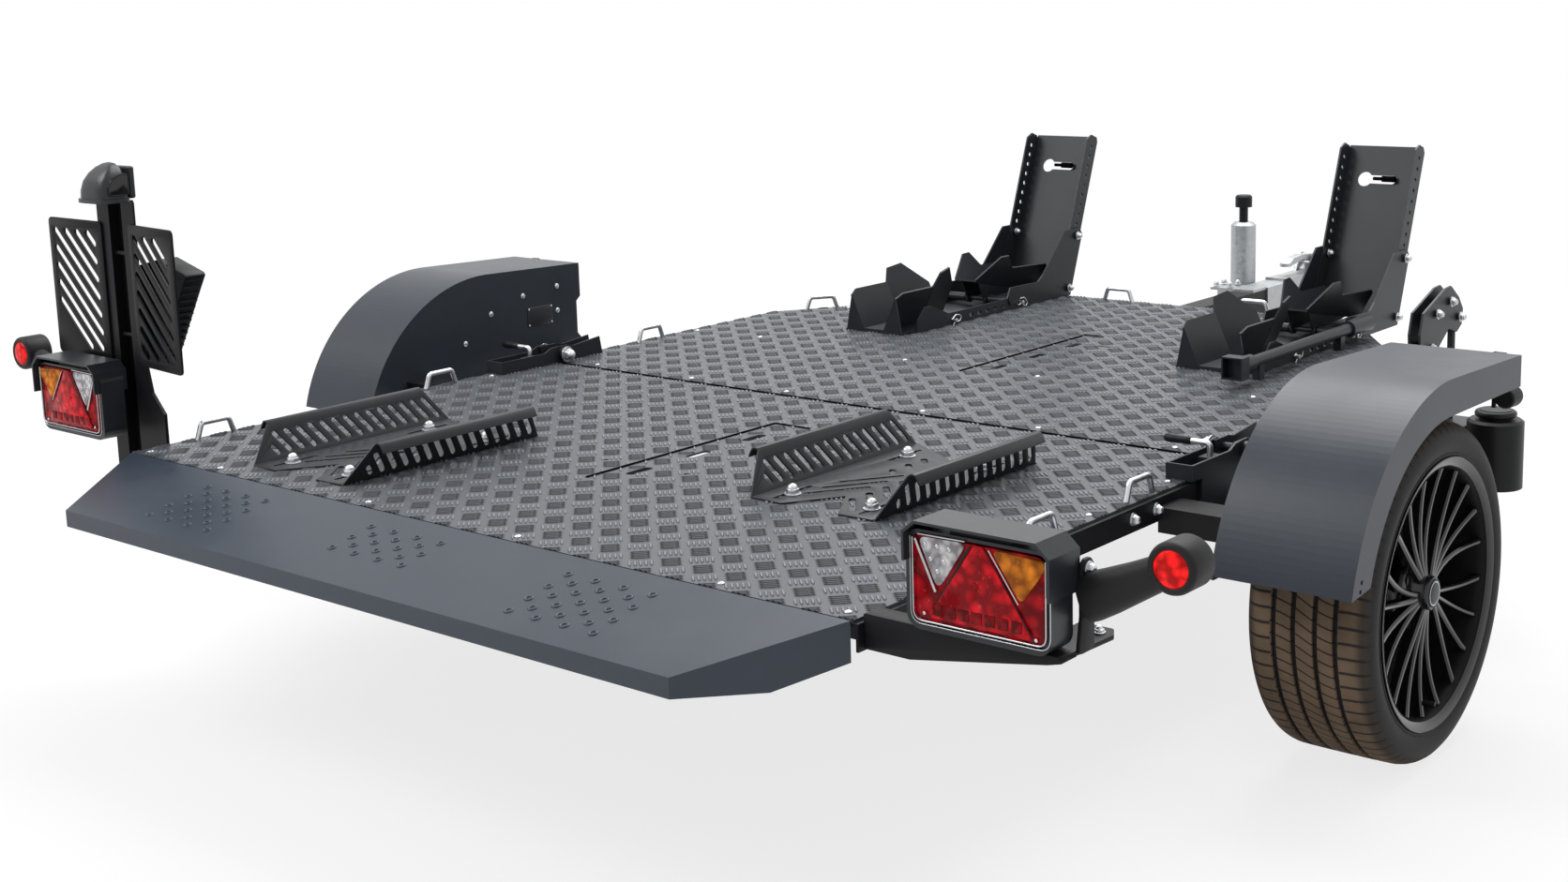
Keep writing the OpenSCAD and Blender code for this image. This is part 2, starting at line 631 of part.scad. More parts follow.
// The fixed rear cradle: each side is one sheet, folded inwards so that the trough narrows.
module rear_cradle() {
    linear_extrude(2 * sheet) polygon([[-32, -38], [32, -38], [32, 100], [18, 222], [-18, 222], [-32, 100]]);
    both_sides() {
        translate([26, 0, sheet]) rotate([0, cradle_lean, 0]) {
            side_plate(0, sheet) polygon([[-38, 0], [-38, 86], [-16, 98], [101, 98], [101, 0]]);
            translate([0, 100, 0]) rotate([0, 0, 12]) side_plate(0, sheet)
                polygon([[-2, 1], [-2, 97], [16, 130], [60, 133], [122, 72], [124, 1]]);
        }
        back_plate(-38, sheet) polygon([[28, 0], [78, 0], [63, 78], [60, 78]]);
    }
}

module chock_frame(side) at_chock(side) {
    box(-chock_half, chock_half, -10, foot_y + 2, 0, sheet);
    box(-80, 80, -38, -9, 0, sheet);
    rear_cradle();
    both_sides() {
        side_plate(chock_half, sheet) difference() {
            polygon([[0, 0], [4, 28], [32, 55], [57, 55], [122, 29], [362, 29], [376, 54], [496, 52],
                [520, 68], [618, 164], [684, 164], [696, 148], [640, 0]]);
            for (i = [0:4]) slot([212 + i * 32, 13], 9, 16);
        }
        rod_x(chock_half, chock_half + 10, foot_y + 34, 146, 9);
        rod_x(chock_half, chock_half + 10, foot_y - 6, 20, 8);
        rod_x(34, chock_half + 8, pivot[0], pivot[1], 10);
    }
    rod_x(-40, 40, pivot[0], pivot[1], pivot_r);
}

module chock_upright(side) at_chock(side) translate([0, foot_y, sheet + fit])
    rotate([-upright_lean, 0, 0]) difference() {
        union() {
            back_plate(0, sheet) difference() {
                polygon([[-chock_half, 6], [chock_half, 6], [chock_half, upright_h - 12],
                    [chock_half - 4, upright_h], [4 - chock_half, upright_h], [-chock_half, upright_h - 12]]);
                translate([-38, upright_h - 78]) circle(r = 17, $fn = 32);
                translate([-38, upright_h - 88]) square([64, 20]);
                translate([26, upright_h - 78]) circle(r = 10, $fn = 32);
            }
            both_sides() side_plate(chock_half - sheet, sheet) polygon([[4, 6], [4, upright_h - 12],
                [-6, upright_h - 2], [-28, upright_h - 2], [-44, upright_h - 18], [-44, 16], [-34, 6]]);
        }
        for (i = [0:8]) rod_x(-100, 100, -20, upright_h - 232 + i * 25, 5.5, 16);
    }

// The rocking front cradle: a sloping trough with high shoulders on two lugs at the pivot.
rocker_back = [322, 74];
rocker_slope = 11;
rocker_len = 268;

module rocker(side) at_chock(side) difference() {
    union() {
        translate([0, rocker_back[0], rocker_back[1]]) rotate([-rocker_slope, 0, 0]) {
            box(-28, 28, 0, rocker_len, -sheet, 0);
            both_sides() translate([27, 0, 0]) rotate([0, cradle_lean, 0]) side_plate(0, sheet)
                polygon([[0, -4], [0, 2], [59, 69], [87, 75], [125, 45], [rocker_len - 12, 67],
                    [rocker_len, 60], [rocker_len, -4]]);
        }
        both_sides() {
            side_plate(22, sheet) polygon([[340, 68], [pivot[0] - 12, pivot[1]], [pivot[0] - 8, pivot[1] - 10],
                [pivot[0] + 8, pivot[1] - 10], [pivot[0] + 12, pivot[1]], [520, 30], [560, 24]]);
            rod_x(22, 30, pivot[0], pivot[1], 12);
        }
    }
    rod_x(-40, 40, pivot[0], pivot[1], pivot_r + bearing);
}

// Tie-down loops round the edge of the deck.
loop_inset = 12;
loops_left = [-815, -284, 327];
loops_right = [-535, -262, 327];
cut_turn = atan2(deck_front - cut_y, deck_half - cut_x);

module loop() {
    back_plate(-5, 10) difference() {
        polygon([[-44, 0], [44, 0], [32, 34], [-32, 34]]);
        polygon([[-35, 3], [35, 3], [26, 25], [-26, 25]]);
    }
}

module tie_down_loops() placed() color(zinc) {
    for (y = loops_left) translate([loop_inset - deck_half, y, deck_top]) rotate(90) loop();
    for (y = loops_right) translate([deck_half - loop_inset, y, deck_top]) rotate(90) loop();
    both_sides() {
        translate([180, deck_front - loop_inset, deck_top]) loop();
        translate([half_at(cut_y + 95) - 10, cut_y + 90, deck_top]) rotate(-cut_turn) loop();
    }
}

// Link bracket, canister and stowed bar on the right-hand side.
link_y = 570;
link_z = under + 120;
link_x = 884;

module link_bracket() placed() color(black) {
    for (x = [link_x, link_x + 20]) side_plate(x, sheet) polygon([for (p = [[-36, 20], [-24, 58], [70, 90],
        [98, 92], [136, 66], [156, 42], [152, 14], [130, 2], [92, 14], [48, -14], [42, -30], [8, -36],
        [-24, -24], [-34, 0]]) [link_y, link_z] + p]);
    for (p = [[8, -10], [134, 30], [30, 50], [92, 64]])
        rod_x(link_x - 4, link_x + 28, link_y + p[0], link_z + p[1], 6);
    box(link_x + 5, link_x + 19, link_y, link_y + 16, beam_low, link_z);
    rod_z(beam_low, link_z + 46, link_x + 12, link_y + 134, 7);
    tube_x(beam_x + 20, link_x + 60, link_y - 20, link_y + 160, beam_low + 2, beam_top - 2);
}

canister = [wing_out - 85, wing_front + 125];
canister_z = [wing_c[1] + 78, wing_c[1] + 190];
canister_r = 46;

module suspension_canister() placed() color(black) {
    rod_z(canister_z[0], canister_z[1], canister[0], canister[1], canister_r, 48);
    translate([canister[0], canister[1], canister_z[1]])
        cylinder(h = 4, r1 = canister_r, r2 = canister_r - 5, $fn = 48);
    rod_z(canister_z[1], canister_z[1] + 20, canister[0], canister[1], 26, 40);
    translate([canister[0], canister[1], canister_z[1] + 13]) rotate_extrude($fn = 40)
        translate([28, 0]) circle(r = 6, $fn = 16);
    box(wing_in + sheet, wing_in + 2 * sheet, wing_front - 18, canister[1] + 24, wing_c[1] + 84, wing_c[1] + 150);
    box(wing_in + sheet, canister[0], canister[1] - 16, canister[1] + 16, wing_c[1] + 98, wing_c[1] + 138);
}

bar_x = chock_x + 115;
bar_z = deck_top + 38;

module stowed_bar() placed() color(black) {
    rod_y(chock_y - 150, chock_y + 440, bar_x, bar_z, 12, 28);
    rod_y(chock_y + 340, chock_y + 440, bar_x, bar_z, 17, 28);
    rod_y(chock_y - 148, chock_y - 95, bar_x, bar_z, 17, 28);
    difference() {
        box(bar_x - 22, bar_x + 22, chock_y - 170, chock_y - 140, bar_z - 22, bar_z + 22);
        box(bar_x - 19, bar_x + 19, chock_y - 171, chock_y - 150, bar_z - 19, bar_z + 19);
    }
    for (y = [chock_y - 60, chock_y + 300])
        box(bar_x - 8, bar_x + 8, y - 10, y + 10, deck_top, bar_z - 8);
}

chassis_beams();
axle_beam();
cross_members();
side_rails();
front_rails();
rear_deck();
front_deck();
rear_ramp();
drawbar();
coupling_head();
coupling_lever();
jack_tube();
jack_leg();
jack_knob();
wing(-1);  // left_wing
wing(1);  // right_wing
axle_arm(-1);  // left_axle_arm
axle_arm(1);  // right_axle_arm
tyre(-1);  // left_tyre
tyre(1);  // right_tyre
rim(-1);  // left_rim
rim(1);  // right_rim
fold_bracket(-1);  // left_fold_bracket
fold_bracket(1);  // right_fold_bracket
lock_handle(-1);  // left_lock_handle
lock_handle(1);  // right_lock_handle
tail_lamp(-1);  // left_tail_lamp
tail_lamp(1);  // right_tail_lamp
tail_lens(-1);  // left_tail_lens
tail_lens(1);  // right_tail_lens
lamp_arm(-1);  // left_lamp_arm
lamp_arm(1);  // right_lamp_arm
front_marker(-1);  // left_front_marker
front_marker(1);  // right_front_marker
plate_mast();
plate_wings();
plate_lamp();
wheel_wedge();
channel(-1);  // left_channel
channel(1);  // right_channel
chock_frame(-1);  // left_chock_frame
chock_frame(1);  // right_chock_frame
chock_upright(-1);  // left_chock_upright
chock_upright(1);  // right_chock_upright
rocker(-1);  // left_rocker
rocker(1);  // right_rocker
tie_down_loops();
link_bracket();
suspension_canister();
stowed_bar();
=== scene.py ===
import math

import bpy
import numpy as np
from mathutils import Matrix, Vector


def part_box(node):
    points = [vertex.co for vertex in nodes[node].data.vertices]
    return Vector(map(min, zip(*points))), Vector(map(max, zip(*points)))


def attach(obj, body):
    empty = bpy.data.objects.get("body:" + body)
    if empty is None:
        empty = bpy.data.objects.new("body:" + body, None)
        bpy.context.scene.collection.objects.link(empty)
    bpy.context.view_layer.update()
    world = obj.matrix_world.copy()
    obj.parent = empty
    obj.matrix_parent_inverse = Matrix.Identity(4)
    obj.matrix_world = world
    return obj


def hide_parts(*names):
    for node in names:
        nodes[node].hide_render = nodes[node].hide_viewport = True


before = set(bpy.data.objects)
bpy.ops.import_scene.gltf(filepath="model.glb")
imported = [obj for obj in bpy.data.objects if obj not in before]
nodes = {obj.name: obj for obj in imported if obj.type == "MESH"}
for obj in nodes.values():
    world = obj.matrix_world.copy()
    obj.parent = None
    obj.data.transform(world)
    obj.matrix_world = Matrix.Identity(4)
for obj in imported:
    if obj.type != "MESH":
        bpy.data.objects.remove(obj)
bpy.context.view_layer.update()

MM = 0.001
FRAME = "trailer_frame"


def middle(node):
    low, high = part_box(node)
    return (low + high) / 2


AXLE_Y = middle("left_tyre").y
DECK_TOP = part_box("rear_deck")[1].z
DECK_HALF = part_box("rear_deck")[1].x
DECK_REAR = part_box("rear_deck")[0].y
DECK_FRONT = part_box("front_deck")[1].y
SEAM_Y = (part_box("rear_deck")[1].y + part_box("front_deck")[0].y) / 2
TRACK_HALF = middle("right_tyre").x
TYRE_R = middle("right_tyre").z
SIDES = {"left": -1, "right": 1}
UP = (0, 0, 1)
OUT = (1, 0, 0)

# Millimetres, across and along from the axle
DECK_MM = 421           # top of the deck plate
RAIL_X = 803            # middle of the side rails, where loops and handles stand
CHOCKS = (-425, 425)    # middle of each chock
CHOCK_Y = 700           # rear end of the chocks


def at(x, y, z):
    """A place in metres from millimetres, with y measured from the axle."""
    return Vector((x * MM, y * MM + AXLE_Y, z * MM))


# Modelling helpers


def drop_selection():
    if bpy.context.object and bpy.context.object.mode != "OBJECT":
        bpy.ops.object.mode_set(mode="OBJECT")
    bpy.ops.object.select_all(action="DESELECT")


def choose(*objects):
    drop_selection()
    for obj in objects:
        obj.select_set(True)
    bpy.context.view_layer.objects.active = objects[0]


def edit(obj, kind="VERT", what="SELECT"):
    choose(obj)
    bpy.ops.object.mode_set(mode="EDIT")
    bpy.ops.mesh.select_mode(type=kind)
    bpy.ops.mesh.select_all(action=what)


def leave():
    bpy.ops.object.mode_set(mode="OBJECT")


def pick_faces(obj, test):
    """Selects the faces whose centre and normal pass the test, and goes to edit mode."""
    edit(obj, "FACE", "DESELECT")
    leave()
    for face in obj.data.polygons:
        face.select = test(face.center, face.normal)
    bpy.ops.object.mode_set(mode="EDIT")


def settle(obj):
    choose(obj)
    bpy.ops.object.transform_apply(location=True, rotation=True, scale=True)
    return obj


def finish_with(obj, kind, **settings):
    choose(obj)
    modifier = obj.modifiers.new(kind.title(), kind)
    for name, value in settings.items():
        setattr(modifier, name, value)
    bpy.ops.object.modifier_apply(modifier=modifier.name)
    return obj


def bevelled(obj, width, segments=2, angle=35):
    return finish_with(obj, "BEVEL", width=width, segments=segments, limit_method="ANGLE",
                       angle_limit=math.radians(angle))


def smooth(obj, angle=35):
    choose(obj)
    bpy.ops.object.shade_smooth_by_angle(angle=math.radians(angle))
    return obj


def twin(obj):
    choose(obj)
    bpy.ops.object.duplicate()
    return bpy.context.object


def joined(objects, name):
    choose(*objects)
    if len(objects) > 1:
        bpy.ops.object.join()
    obj = settle(bpy.context.object)
    obj.name = name
    obj.data.name = name
    return obj


def moved(obj, place, turn=(0, 0, 0)):
    obj.location = place
    obj.rotation_euler = turn
    return settle(obj)


def for_side(obj, side):
    """Turns a piece that is drawn for the right side into its mirror image for the left."""
    if side == "left":
        obj.scale = (-1, 1, 1)
        edit(settle(obj))
        bpy.ops.mesh.flip_normals()
        leave()
    return obj


def weld():
    """Merges the points of the open mesh that coincide."""
    bpy.ops.mesh.select_all(action="SELECT")
    bpy.ops.mesh.remove_doubles(threshold=1e-6)


def outward():
    """Points all faces of the open mesh outwards, and leaves edit mode."""
    bpy.ops.mesh.select_all(action="SELECT")
    bpy.ops.mesh.normals_make_consistent(inside=False)
    leave()


def row_of(obj, count, step):
    return finish_with(obj, "ARRAY", count=count, use_relative_offset=False,
                       use_constant_offset=True, constant_offset_displace=step)


def cylinder(radius, depth, place, axis="Z", sides=24):
    turn = {"X": (0, math.pi / 2, 0), "Y": (-math.pi / 2, 0, 0), "Z": (0, 0, 0)}[axis]
    drop_selection()
    bpy.ops.mesh.primitive_cylinder_add(vertices=sides, radius=radius, depth=depth, location=place,
                                        rotation=turn)
    return settle(bpy.context.object)


def block(low, high):
    """A box between two corners."""
    low, high = Vector(low), Vector(high)
    drop_selection()
    bpy.ops.mesh.primitive_cube_add(size=1, location=(low + high) / 2, scale=high - low)
    return settle(bpy.context.object)


def curve_mesh(loops, closed, **settings):
    """The mesh of a curve through the points of each loop, in metres."""
    drop_selection()
    bpy.ops.curve.primitive_bezier_curve_add()
    obj = bpy.context.object
    obj.location = (0, 0, 0)
    obj.data.splines.clear()
    for loop in loops:
        spline = obj.data.splines.new("POLY")
        spline.points.add(len(loop) - 1)
        for target, point in zip(spline.points, loop):
            target.co = (*point, 1)
        spline.use_cyclic_u = closed
    for name, value in settings.items():
        setattr(obj.data, name, value)
    choose(obj)
    bpy.ops.object.convert(target="MESH")
    return settle(bpy.context.object)


def rounded(before, corner, after, radius, steps=5):
    """The points of one corner, rounded as far as its neighbours allow."""
    before, after = before - corner, after - corner
    half = before.angle(after) / 2
    reach = min(radius / math.tan(half), 0.45 * before.length, 0.45 * after.length)
    start = corner + before.normalized() * reach
    stop = corner + after.normalized() * reach
    return [start * (1 - t) ** 2 + corner * 2 * t * (1 - t) + stop * t ** 2
            for t in (k / steps for k in range(steps + 1))]


def bent_rod(points, radius, bend=0.0, closed=False, sides=12):
    """A round bar along points, with its corners rounded to the bend radius."""
    path = []
    count = len(points)
    for i, point in enumerate(points):
        if bend and (closed or 0 < i < count - 1):
            path += rounded(points[i - 1], point, points[(i + 1) % count], bend)
        else:
            path.append(point)
    return curve_mesh([path], closed, dimensions="3D", bevel_depth=radius,
                      bevel_resolution=sides // 4, use_fill_caps=True)


def place(pieces, name, material, slot, body=FRAME, instead=()):
    """Joins finished pieces into one part, gives it its material and hangs it on its body."""
    obj = joined(pieces, name)
    obj.data.materials.clear()
    obj.data.materials.append(material)
    if instead:
        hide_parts(*instead)
    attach(obj, body)


def place_parts(side, parts, body=FRAME, centre=(0, 0, 0)):
    """Places one side's parts, drawn for the right, from rows of pieces, name, finish and slot.

    A row ends with the node that the part stands for, where there is one.
    """
    for pieces, name, material, slot, *instead in parts:
        obj = moved(for_side(joined(pieces, name), side), centre)
        place([obj], f"{side}_{name}", material, slot, body, [f"{side}_{node}" for node in instead])


# Shader helpers


class Value:
    """A shader socket that takes part in Python sums."""

    def __init__(self, maker, socket):
        self.maker = maker
        self.socket = socket

    def __add__(self, other):
        return self.maker.math("ADD", self, other)

    def __sub__(self, other):
        return self.maker.math("SUBTRACT", self, other)

    def __rsub__(self, other):
        return self.maker.math("SUBTRACT", other, self)

    def __mul__(self, other):
        return self.maker.math("MULTIPLY", self, other)

    def root(self):
        return self.maker.math("SQRT", self)

    def size(self):
        return self.maker.math("ABSOLUTE", self)

    def wave(self):
        return self.maker.math("SINE", self)

    def least(self, other):
        return self.maker.math("MINIMUM", self, other)

    def most(self, other):
        return self.maker.math("MAXIMUM", self, other)

    def wrap(self, span):
        """The remainder from -span/2 to span/2."""
        return self.maker.math("WRAP", self, span / 2, -span / 2)

    def rise(self, low, high):
        """0 below low and 1 above high, with a smooth step between them."""
        return self.maker.node("ShaderNodeMapRange", {"interpolation_type": "SMOOTHSTEP"},
                               {"Value": self, "From Min": low, "From Max": high})


class Graph:
    """A node tree, with its nodes made through one method."""

    def __init__(self, tree):
        self.tree = tree

    def node(self, kind, settings, values, out=0):
        made = self.tree.nodes.new(kind)
        for key, value in settings.items():
            setattr(made, key, value)
        named = enumerate(values) if isinstance(values, list) else values.items()
        for key, value in named:
            if isinstance(value, Value):
                self.tree.links.new(value.socket, made.inputs[key])
            else:
                made.inputs[key].default_value = value
        return Value(self, made.outputs[out])

    def math(self, operation, *values):
        return self.node("ShaderNodeMath", {"operation": operation}, list(values))

    def seen(self):
        """1 for camera and glossy rays, and 0 for the others."""
        camera, glossy = (self.node("ShaderNodeLightPath", {}, {}, f"Is {kind} Ray")
                          for kind in ("Camera", "Glossy"))
        return camera.most(glossy)


class Finish(Graph):
    """One material."""

    def __init__(self, name, **constants):
        self.material = bpy.data.materials.new(name)
        self.material.use_nodes = True
        super().__init__(self.material.node_tree)
        self.shader = self.tree.nodes["Principled BSDF"]
        for socket, value in constants.items():
            self.shader.inputs[socket.replace("_", " ")].default_value = value
        self.place = self.node("ShaderNodeTexCoord", {}, {}, "Object")

    def noise(self, scale, detail=3, rough=0.55):
        return self.node("ShaderNodeTexNoise", {},
                         {"Vector": self.place, "Scale": scale, "Detail": detail,
                          "Roughness": rough})

    def split(self, vector):
        parts = self.tree.nodes.new("ShaderNodeSeparateXYZ")
        self.tree.links.new(vector.socket, parts.inputs[0])
        return [Value(self, part) for part in parts.outputs]

    def axes(self):
        return self.split(self.place)

    def facing_up(self):
        return self.split(self.node("ShaderNodeNewGeometry", {}, {}, "Normal"))[2]

    def mix(self, share, first, second):
        made = self.tree.nodes.new("ShaderNodeMix")
        made.data_type = "RGBA"
        for key, value in ((0, share), (6, first), (7, second)):
            if isinstance(value, Value):
                self.tree.links.new(value.socket, made.inputs[key])
            elif key == 0:
                made.inputs[key].default_value = value
            else:
                made.inputs[key].default_value = (*value, 1)
        return Value(self, made.outputs[2])

    def tones(self, share, colour, low, high):
        """From a darker to a lighter tone of one colour."""
        return self.mix(share, *([min(1, c * tone) for c in colour] for tone in (low, high)))

    def feed(self, **links):
        for socket, value in links.items():
            self.tree.links.new(value.socket, self.shader.inputs[socket.replace("_", " ")])

    def bump(self, height, distance, strength=1.0):
        settings = {"Height": height, "Distance": distance, "Strength": strength}
        self.feed(Normal=self.node("ShaderNodeBump", {}, settings))


# Finishes

REPEAT_MM = 60                          # the tread pattern repeats on this square
REPEAT = REPEAT_MM * MM
TREAD_X, TREAD_Y = 30, -25              # a corner of the pattern


def powder_coat(name, colour, rough, dust=0.3, ior=1.5, grain=0.00012):
    """Satin powder coat: fine orange peel, faint clouds in its gloss and pale dust on top faces."""
    finish = Finish(name, IOR=ior)
    clouds = finish.noise(5, 4)
    streaks = finish.noise(38, 3)
    settled = finish.facing_up().rise(0.6, 1.0) * clouds.rise(0.42, 0.75) * dust
    shade = finish.tones(streaks * 0.35 + clouds * 0.4, colour, 0.75, 1.3)
    finish.feed(Base_Color=finish.mix(settled, shade, (0.11, 0.105, 0.1)),
                Roughness=clouds * 0.12 + settled * 0.5 + (rough - 0.06))
    finish.bump(finish.noise(1400, 2), grain, 0.5)
    return finish.material


def tread_paint_and_light(name):
    """Satin blue-grey paint, with painted shade on the bar sides and on the groups of bars that
    lean one way, and a painted highlight on the tops of the others.
    """
    finish = Finish(name, IOR=1.45)
    x, y, z = finish.axes()
    high = (z - (DECK_TOP + 0.0004)).rise(0, 0.001)
    across = (x - TREAD_X * MM).wrap(REPEAT)
    along = (y - (AXLE_Y + TREAD_Y * MM)).wrap(REPEAT)
    # Painted shade: the groups of bars that lean one way are darkened as if they faced away from
    # the light
    lean_a = (across + along).size() * 0.7071
    lean_b = (across - along).size() * 0.7071
    shaded_groups = (1 - lean_a.rise(0.0135, 0.0175)) * (1 - lean_b.rise(0.0185, 0.0215))
    clouds = finish.noise(3.2, 5)
    specks = finish.noise(160, 3)
    dirt = clouds.rise(0.4, 0.75) * (1 - high * 0.7) * specks.rise(0.3, 0.7)
    # Painted highlight: the tops of the bars outside those groups are lightened
    painted_highlight_tops = (z - (DECK_TOP + 0.0011)).rise(0, 0.0004)
    # The raised bars are painted darker than the plate: painted shade on their sides
    paint_and_light = finish.mix(high, (0.062, 0.069, 0.081), (0.05, 0.056, 0.066))
    paint_and_light = finish.mix(painted_highlight_tops * (1 - shaded_groups), paint_and_light, (0.17, 0.185, 0.205))
    paint_and_light = finish.mix(shaded_groups * (clouds * 0.5 + 0.15), paint_and_light, (0.014, 0.015, 0.018))
    finish.feed(Base_Color=finish.mix(dirt * 0.3, paint_and_light, (0.12, 0.118, 0.115)),
                Roughness=clouds * 0.14 + dirt * 0.2 + specks * 0.08 + shaded_groups * 0.1 + 0.24)
    finish.bump(finish.noise(420, 3), 0.0002, 0.5)
    return finish.material


def zinc_plate(name, colour=(0.62, 0.64, 0.66), rough=0.3, spangle=90):
    """Zinc with faint crystals and dull patches."""
    finish = Finish(name, Metallic=1.0)
    crystals = finish.node("ShaderNodeTexVoronoi", {}, {"Vector": finish.place, "Scale": spangle},
                           "Color")
    grey = finish.node("ShaderNodeRGBToBW", {}, [crystals])
    clouds = finish.noise(24, 4)
    shade = finish.tones(grey * 0.4 + clouds * 0.5, colour, 0.72, 1.18)
    finish.feed(Base_Color=shade, Roughness=grey * 0.1 + clouds * 0.2 + (rough - 0.1))
    finish.bump(finish.noise(700, 2), 0.0001, 0.4)
    return finish.material


def moulded(name, colour, rough=0.5, grain=0.0002, ior=1.28):
    """Moulded plastic or rubber with a fine grain."""
    finish = Finish(name, IOR=ior)
    clouds = finish.noise(11, 3)
    shade = finish.tones(clouds, colour, 0.8, 1.25)
    finish.feed(Base_Color=shade, Roughness=clouds * 0.16 + (rough - 0.08))
    finish.bump(finish.noise(1100, 2), grain, 0.5)
    return finish.material


def tyre_rubber(name):
    """Dark sidewalls, and a tread with fine cuts and dry dust on its ribs, darker in its grooves,
    its cuts and towards its edges.
    """
    finish = Finish(name, IOR=1.22)
    x, y, z = finish.axes()
    out = ((y - AXLE_Y) * (y - AXLE_Y) + (z - TYRE_R) * (z - TYRE_R)).root()
    lateral = x.size() - TRACK_HALF
    arc = finish.math("ARCTAN2", y - AXLE_Y, z - TYRE_R) * TYRE_R
    tread = out.rise(TYRE_R - 0.02, TYRE_R - 0.008)
    shoulder = lateral.size().rise(0.0525, 0.0535)
    bow = (lateral * 60).wave() * 0.003
    fine = 1 - (arc + lateral * 0.35 + bow).wrap(0.0188).size().rise(0.0007, 0.0016)
    wide = 1 - (arc + lateral * 0.1 + bow).wrap(0.0235).size().rise(0.0014, 0.0026)
    cuts = (fine * (1 - shoulder) + wide * shoulder) * tread
    groove = 1 - out.rise(TYRE_R - 0.0055, TYRE_R - 0.0025)
    clouds = finish.noise(14, 4)
    soil = finish.mix(clouds, (0.12, 0.08, 0.052), (0.25, 0.175, 0.115))
    rubber = finish.mix(clouds, (0.013, 0.013, 0.014), (0.028, 0.028, 0.03))
    edge = lateral.size().rise(0.074, 0.088)
    # The tread is darker in its grooves, its cuts and towards its edges
    outside_grooves_and_cuts = (1 - groove * (1 - shoulder) * 0.95) * (1 - cuts * 0.92) * (1 - edge * 0.75)
    dusty = tread * (clouds * 0.5 + 0.5) * outside_grooves_and_cuts
    finish.feed(Base_Color=finish.mix(dusty, rubber, soil),
                Roughness=clouds * 0.15 + tread * 0.25 + 0.48)
    finish.bump((1 - cuts) * 0.0022 + finish.noise(600, 3) * 0.0002, 1.0, 0.8)
    return finish.material


def lens(name, colour, cell=0.014, painted_glow=0.0):
    """A clear coloured lens behind a smooth outer face, with its facets painted bright and dark,
    painted glints and a painted glow.
    """
    finish = Finish(name, IOR=1.18, Coat_Weight=0.12, Coat_Roughness=0.05, Coat_IOR=1.3)
    facets = finish.node("ShaderNodeTexVoronoi", {}, {"Vector": finish.place, "Scale": 1 / cell},
                         "Distance")
    shards = finish.node("ShaderNodeTexVoronoi", {"distance": "MANHATTAN"},
                         {"Vector": finish.place, "Scale": 0.6 / cell}, "Distance")
    # Painted glints: small bright spots over the lens
    painted_glints = finish.noise(2.2 / cell, 4, 0.7).rise(0.6, 0.72)
    # Painted light on the facets: bright in their middles, painted shade towards their edges
    depth = (facets * 0.9 + shards * 0.5).least(1)
    shade = finish.mix(depth, [min(1, c * 1.5 + 0.002) for c in colour], [c * 0.3 for c in colour])
    finish.feed(Base_Color=finish.mix(painted_glints * 0.25, shade,
                                      [min(1, c * 1.3 + 0.16) for c in colour]),
                Roughness=facets * 0.15 + 0.14)
    # Painted glow: emission that brightens the lens with no lamp lit inside it
    if painted_glow:
        finish.feed(Emission_Color=shade)
        finish.shader.inputs["Emission Strength"].default_value = painted_glow
    finish.bump(facets, 0.002, 0.7)
    return finish.material


# The ramp's and the wings' lighter blue-grey is partly a painted sheen: pale sky reflected in a
# black satin coat
ramp_coat_painted_sheen = powder_coat("ramp_coat_painted_sheen", (0.034, 0.046, 0.066), 0.34, 0.1, 1.4)
wing_coat_painted_sheen = powder_coat("wing_coat_painted_sheen", (0.03, 0.037, 0.05), 0.36, 0.1, 1.4)
fold_coat = powder_coat("fold_coat", (0.02, 0.0225, 0.0275), 0.38, 0.12, 1.35)
chassis_coat = powder_coat("chassis_coat", (0.009, 0.009, 0.0105), 0.42, 0.15, 1.25)
mast_coat = powder_coat("mast_coat", (0.008, 0.008, 0.0095), 0.4, 0.1, 1.22)
gloss_coat = powder_coat("gloss_coat", (0.007, 0.007, 0.008), 0.13, 0.0, 1.5, 0.00003)
deck_paint_and_light = tread_paint_and_light("deck_paint_and_light")
bright_zinc = zinc_plate("bright_zinc")
dull_zinc = zinc_plate("dull_zinc", (0.46, 0.48, 0.49), 0.42, 130)
black_plastic = moulded("black_plastic", (0.011, 0.0115, 0.013), 0.38)
black_rubber = moulded("black_rubber", (0.014, 0.014, 0.015), 0.5, 0.0003)
tyre_finish = tyre_rubber("tyre_finish")
# A lens's second number is its painted glow
red_lens = lens("red_lens", (0.62, 0.004, 0.012), 0.016, 0.14)
amber_lens = lens("amber_lens", (0.78, 0.2, 0.008), 0.014, 0.08)
clear_lens = lens("clear_lens", (0.75, 0.7, 0.74), 0.013, 0.02)
red_field = lens("red_field", (0.42, 0.003, 0.008), 0.02, 0.1)
red_cell = lens("red_cell", (0.3, 0.002, 0.005), 0.012)
lamp_plastic = moulded("lamp_plastic", (0.017, 0.019, 0.0235), 0.32, ior=1.4)
# Near-black with almost no reflection: painted shade for the deck's seam and hatch gaps, and the
# black of the hook pins
deep_shade = moulded("deep_shade", (0.004, 0.004, 0.005), 0.8, ior=1.02)
# The barrel's finish is a darker, duller copy of the rim's gloss black: painted shade inside the
# tyre
shaded_barrel = moulded("shaded_barrel", (0.006, 0.006, 0.007), 0.42, ior=1.2)
plate_coat = powder_coat("plate_coat", (0.035, 0.036, 0.038), 0.3, 0.0)
marker_red = lens("marker_red", (0.8, 0.008, 0.008), 0.012, 0.85)
lamp_rim = zinc_plate("lamp_rim", (0.5, 0.51, 0.53), 0.2, 40)

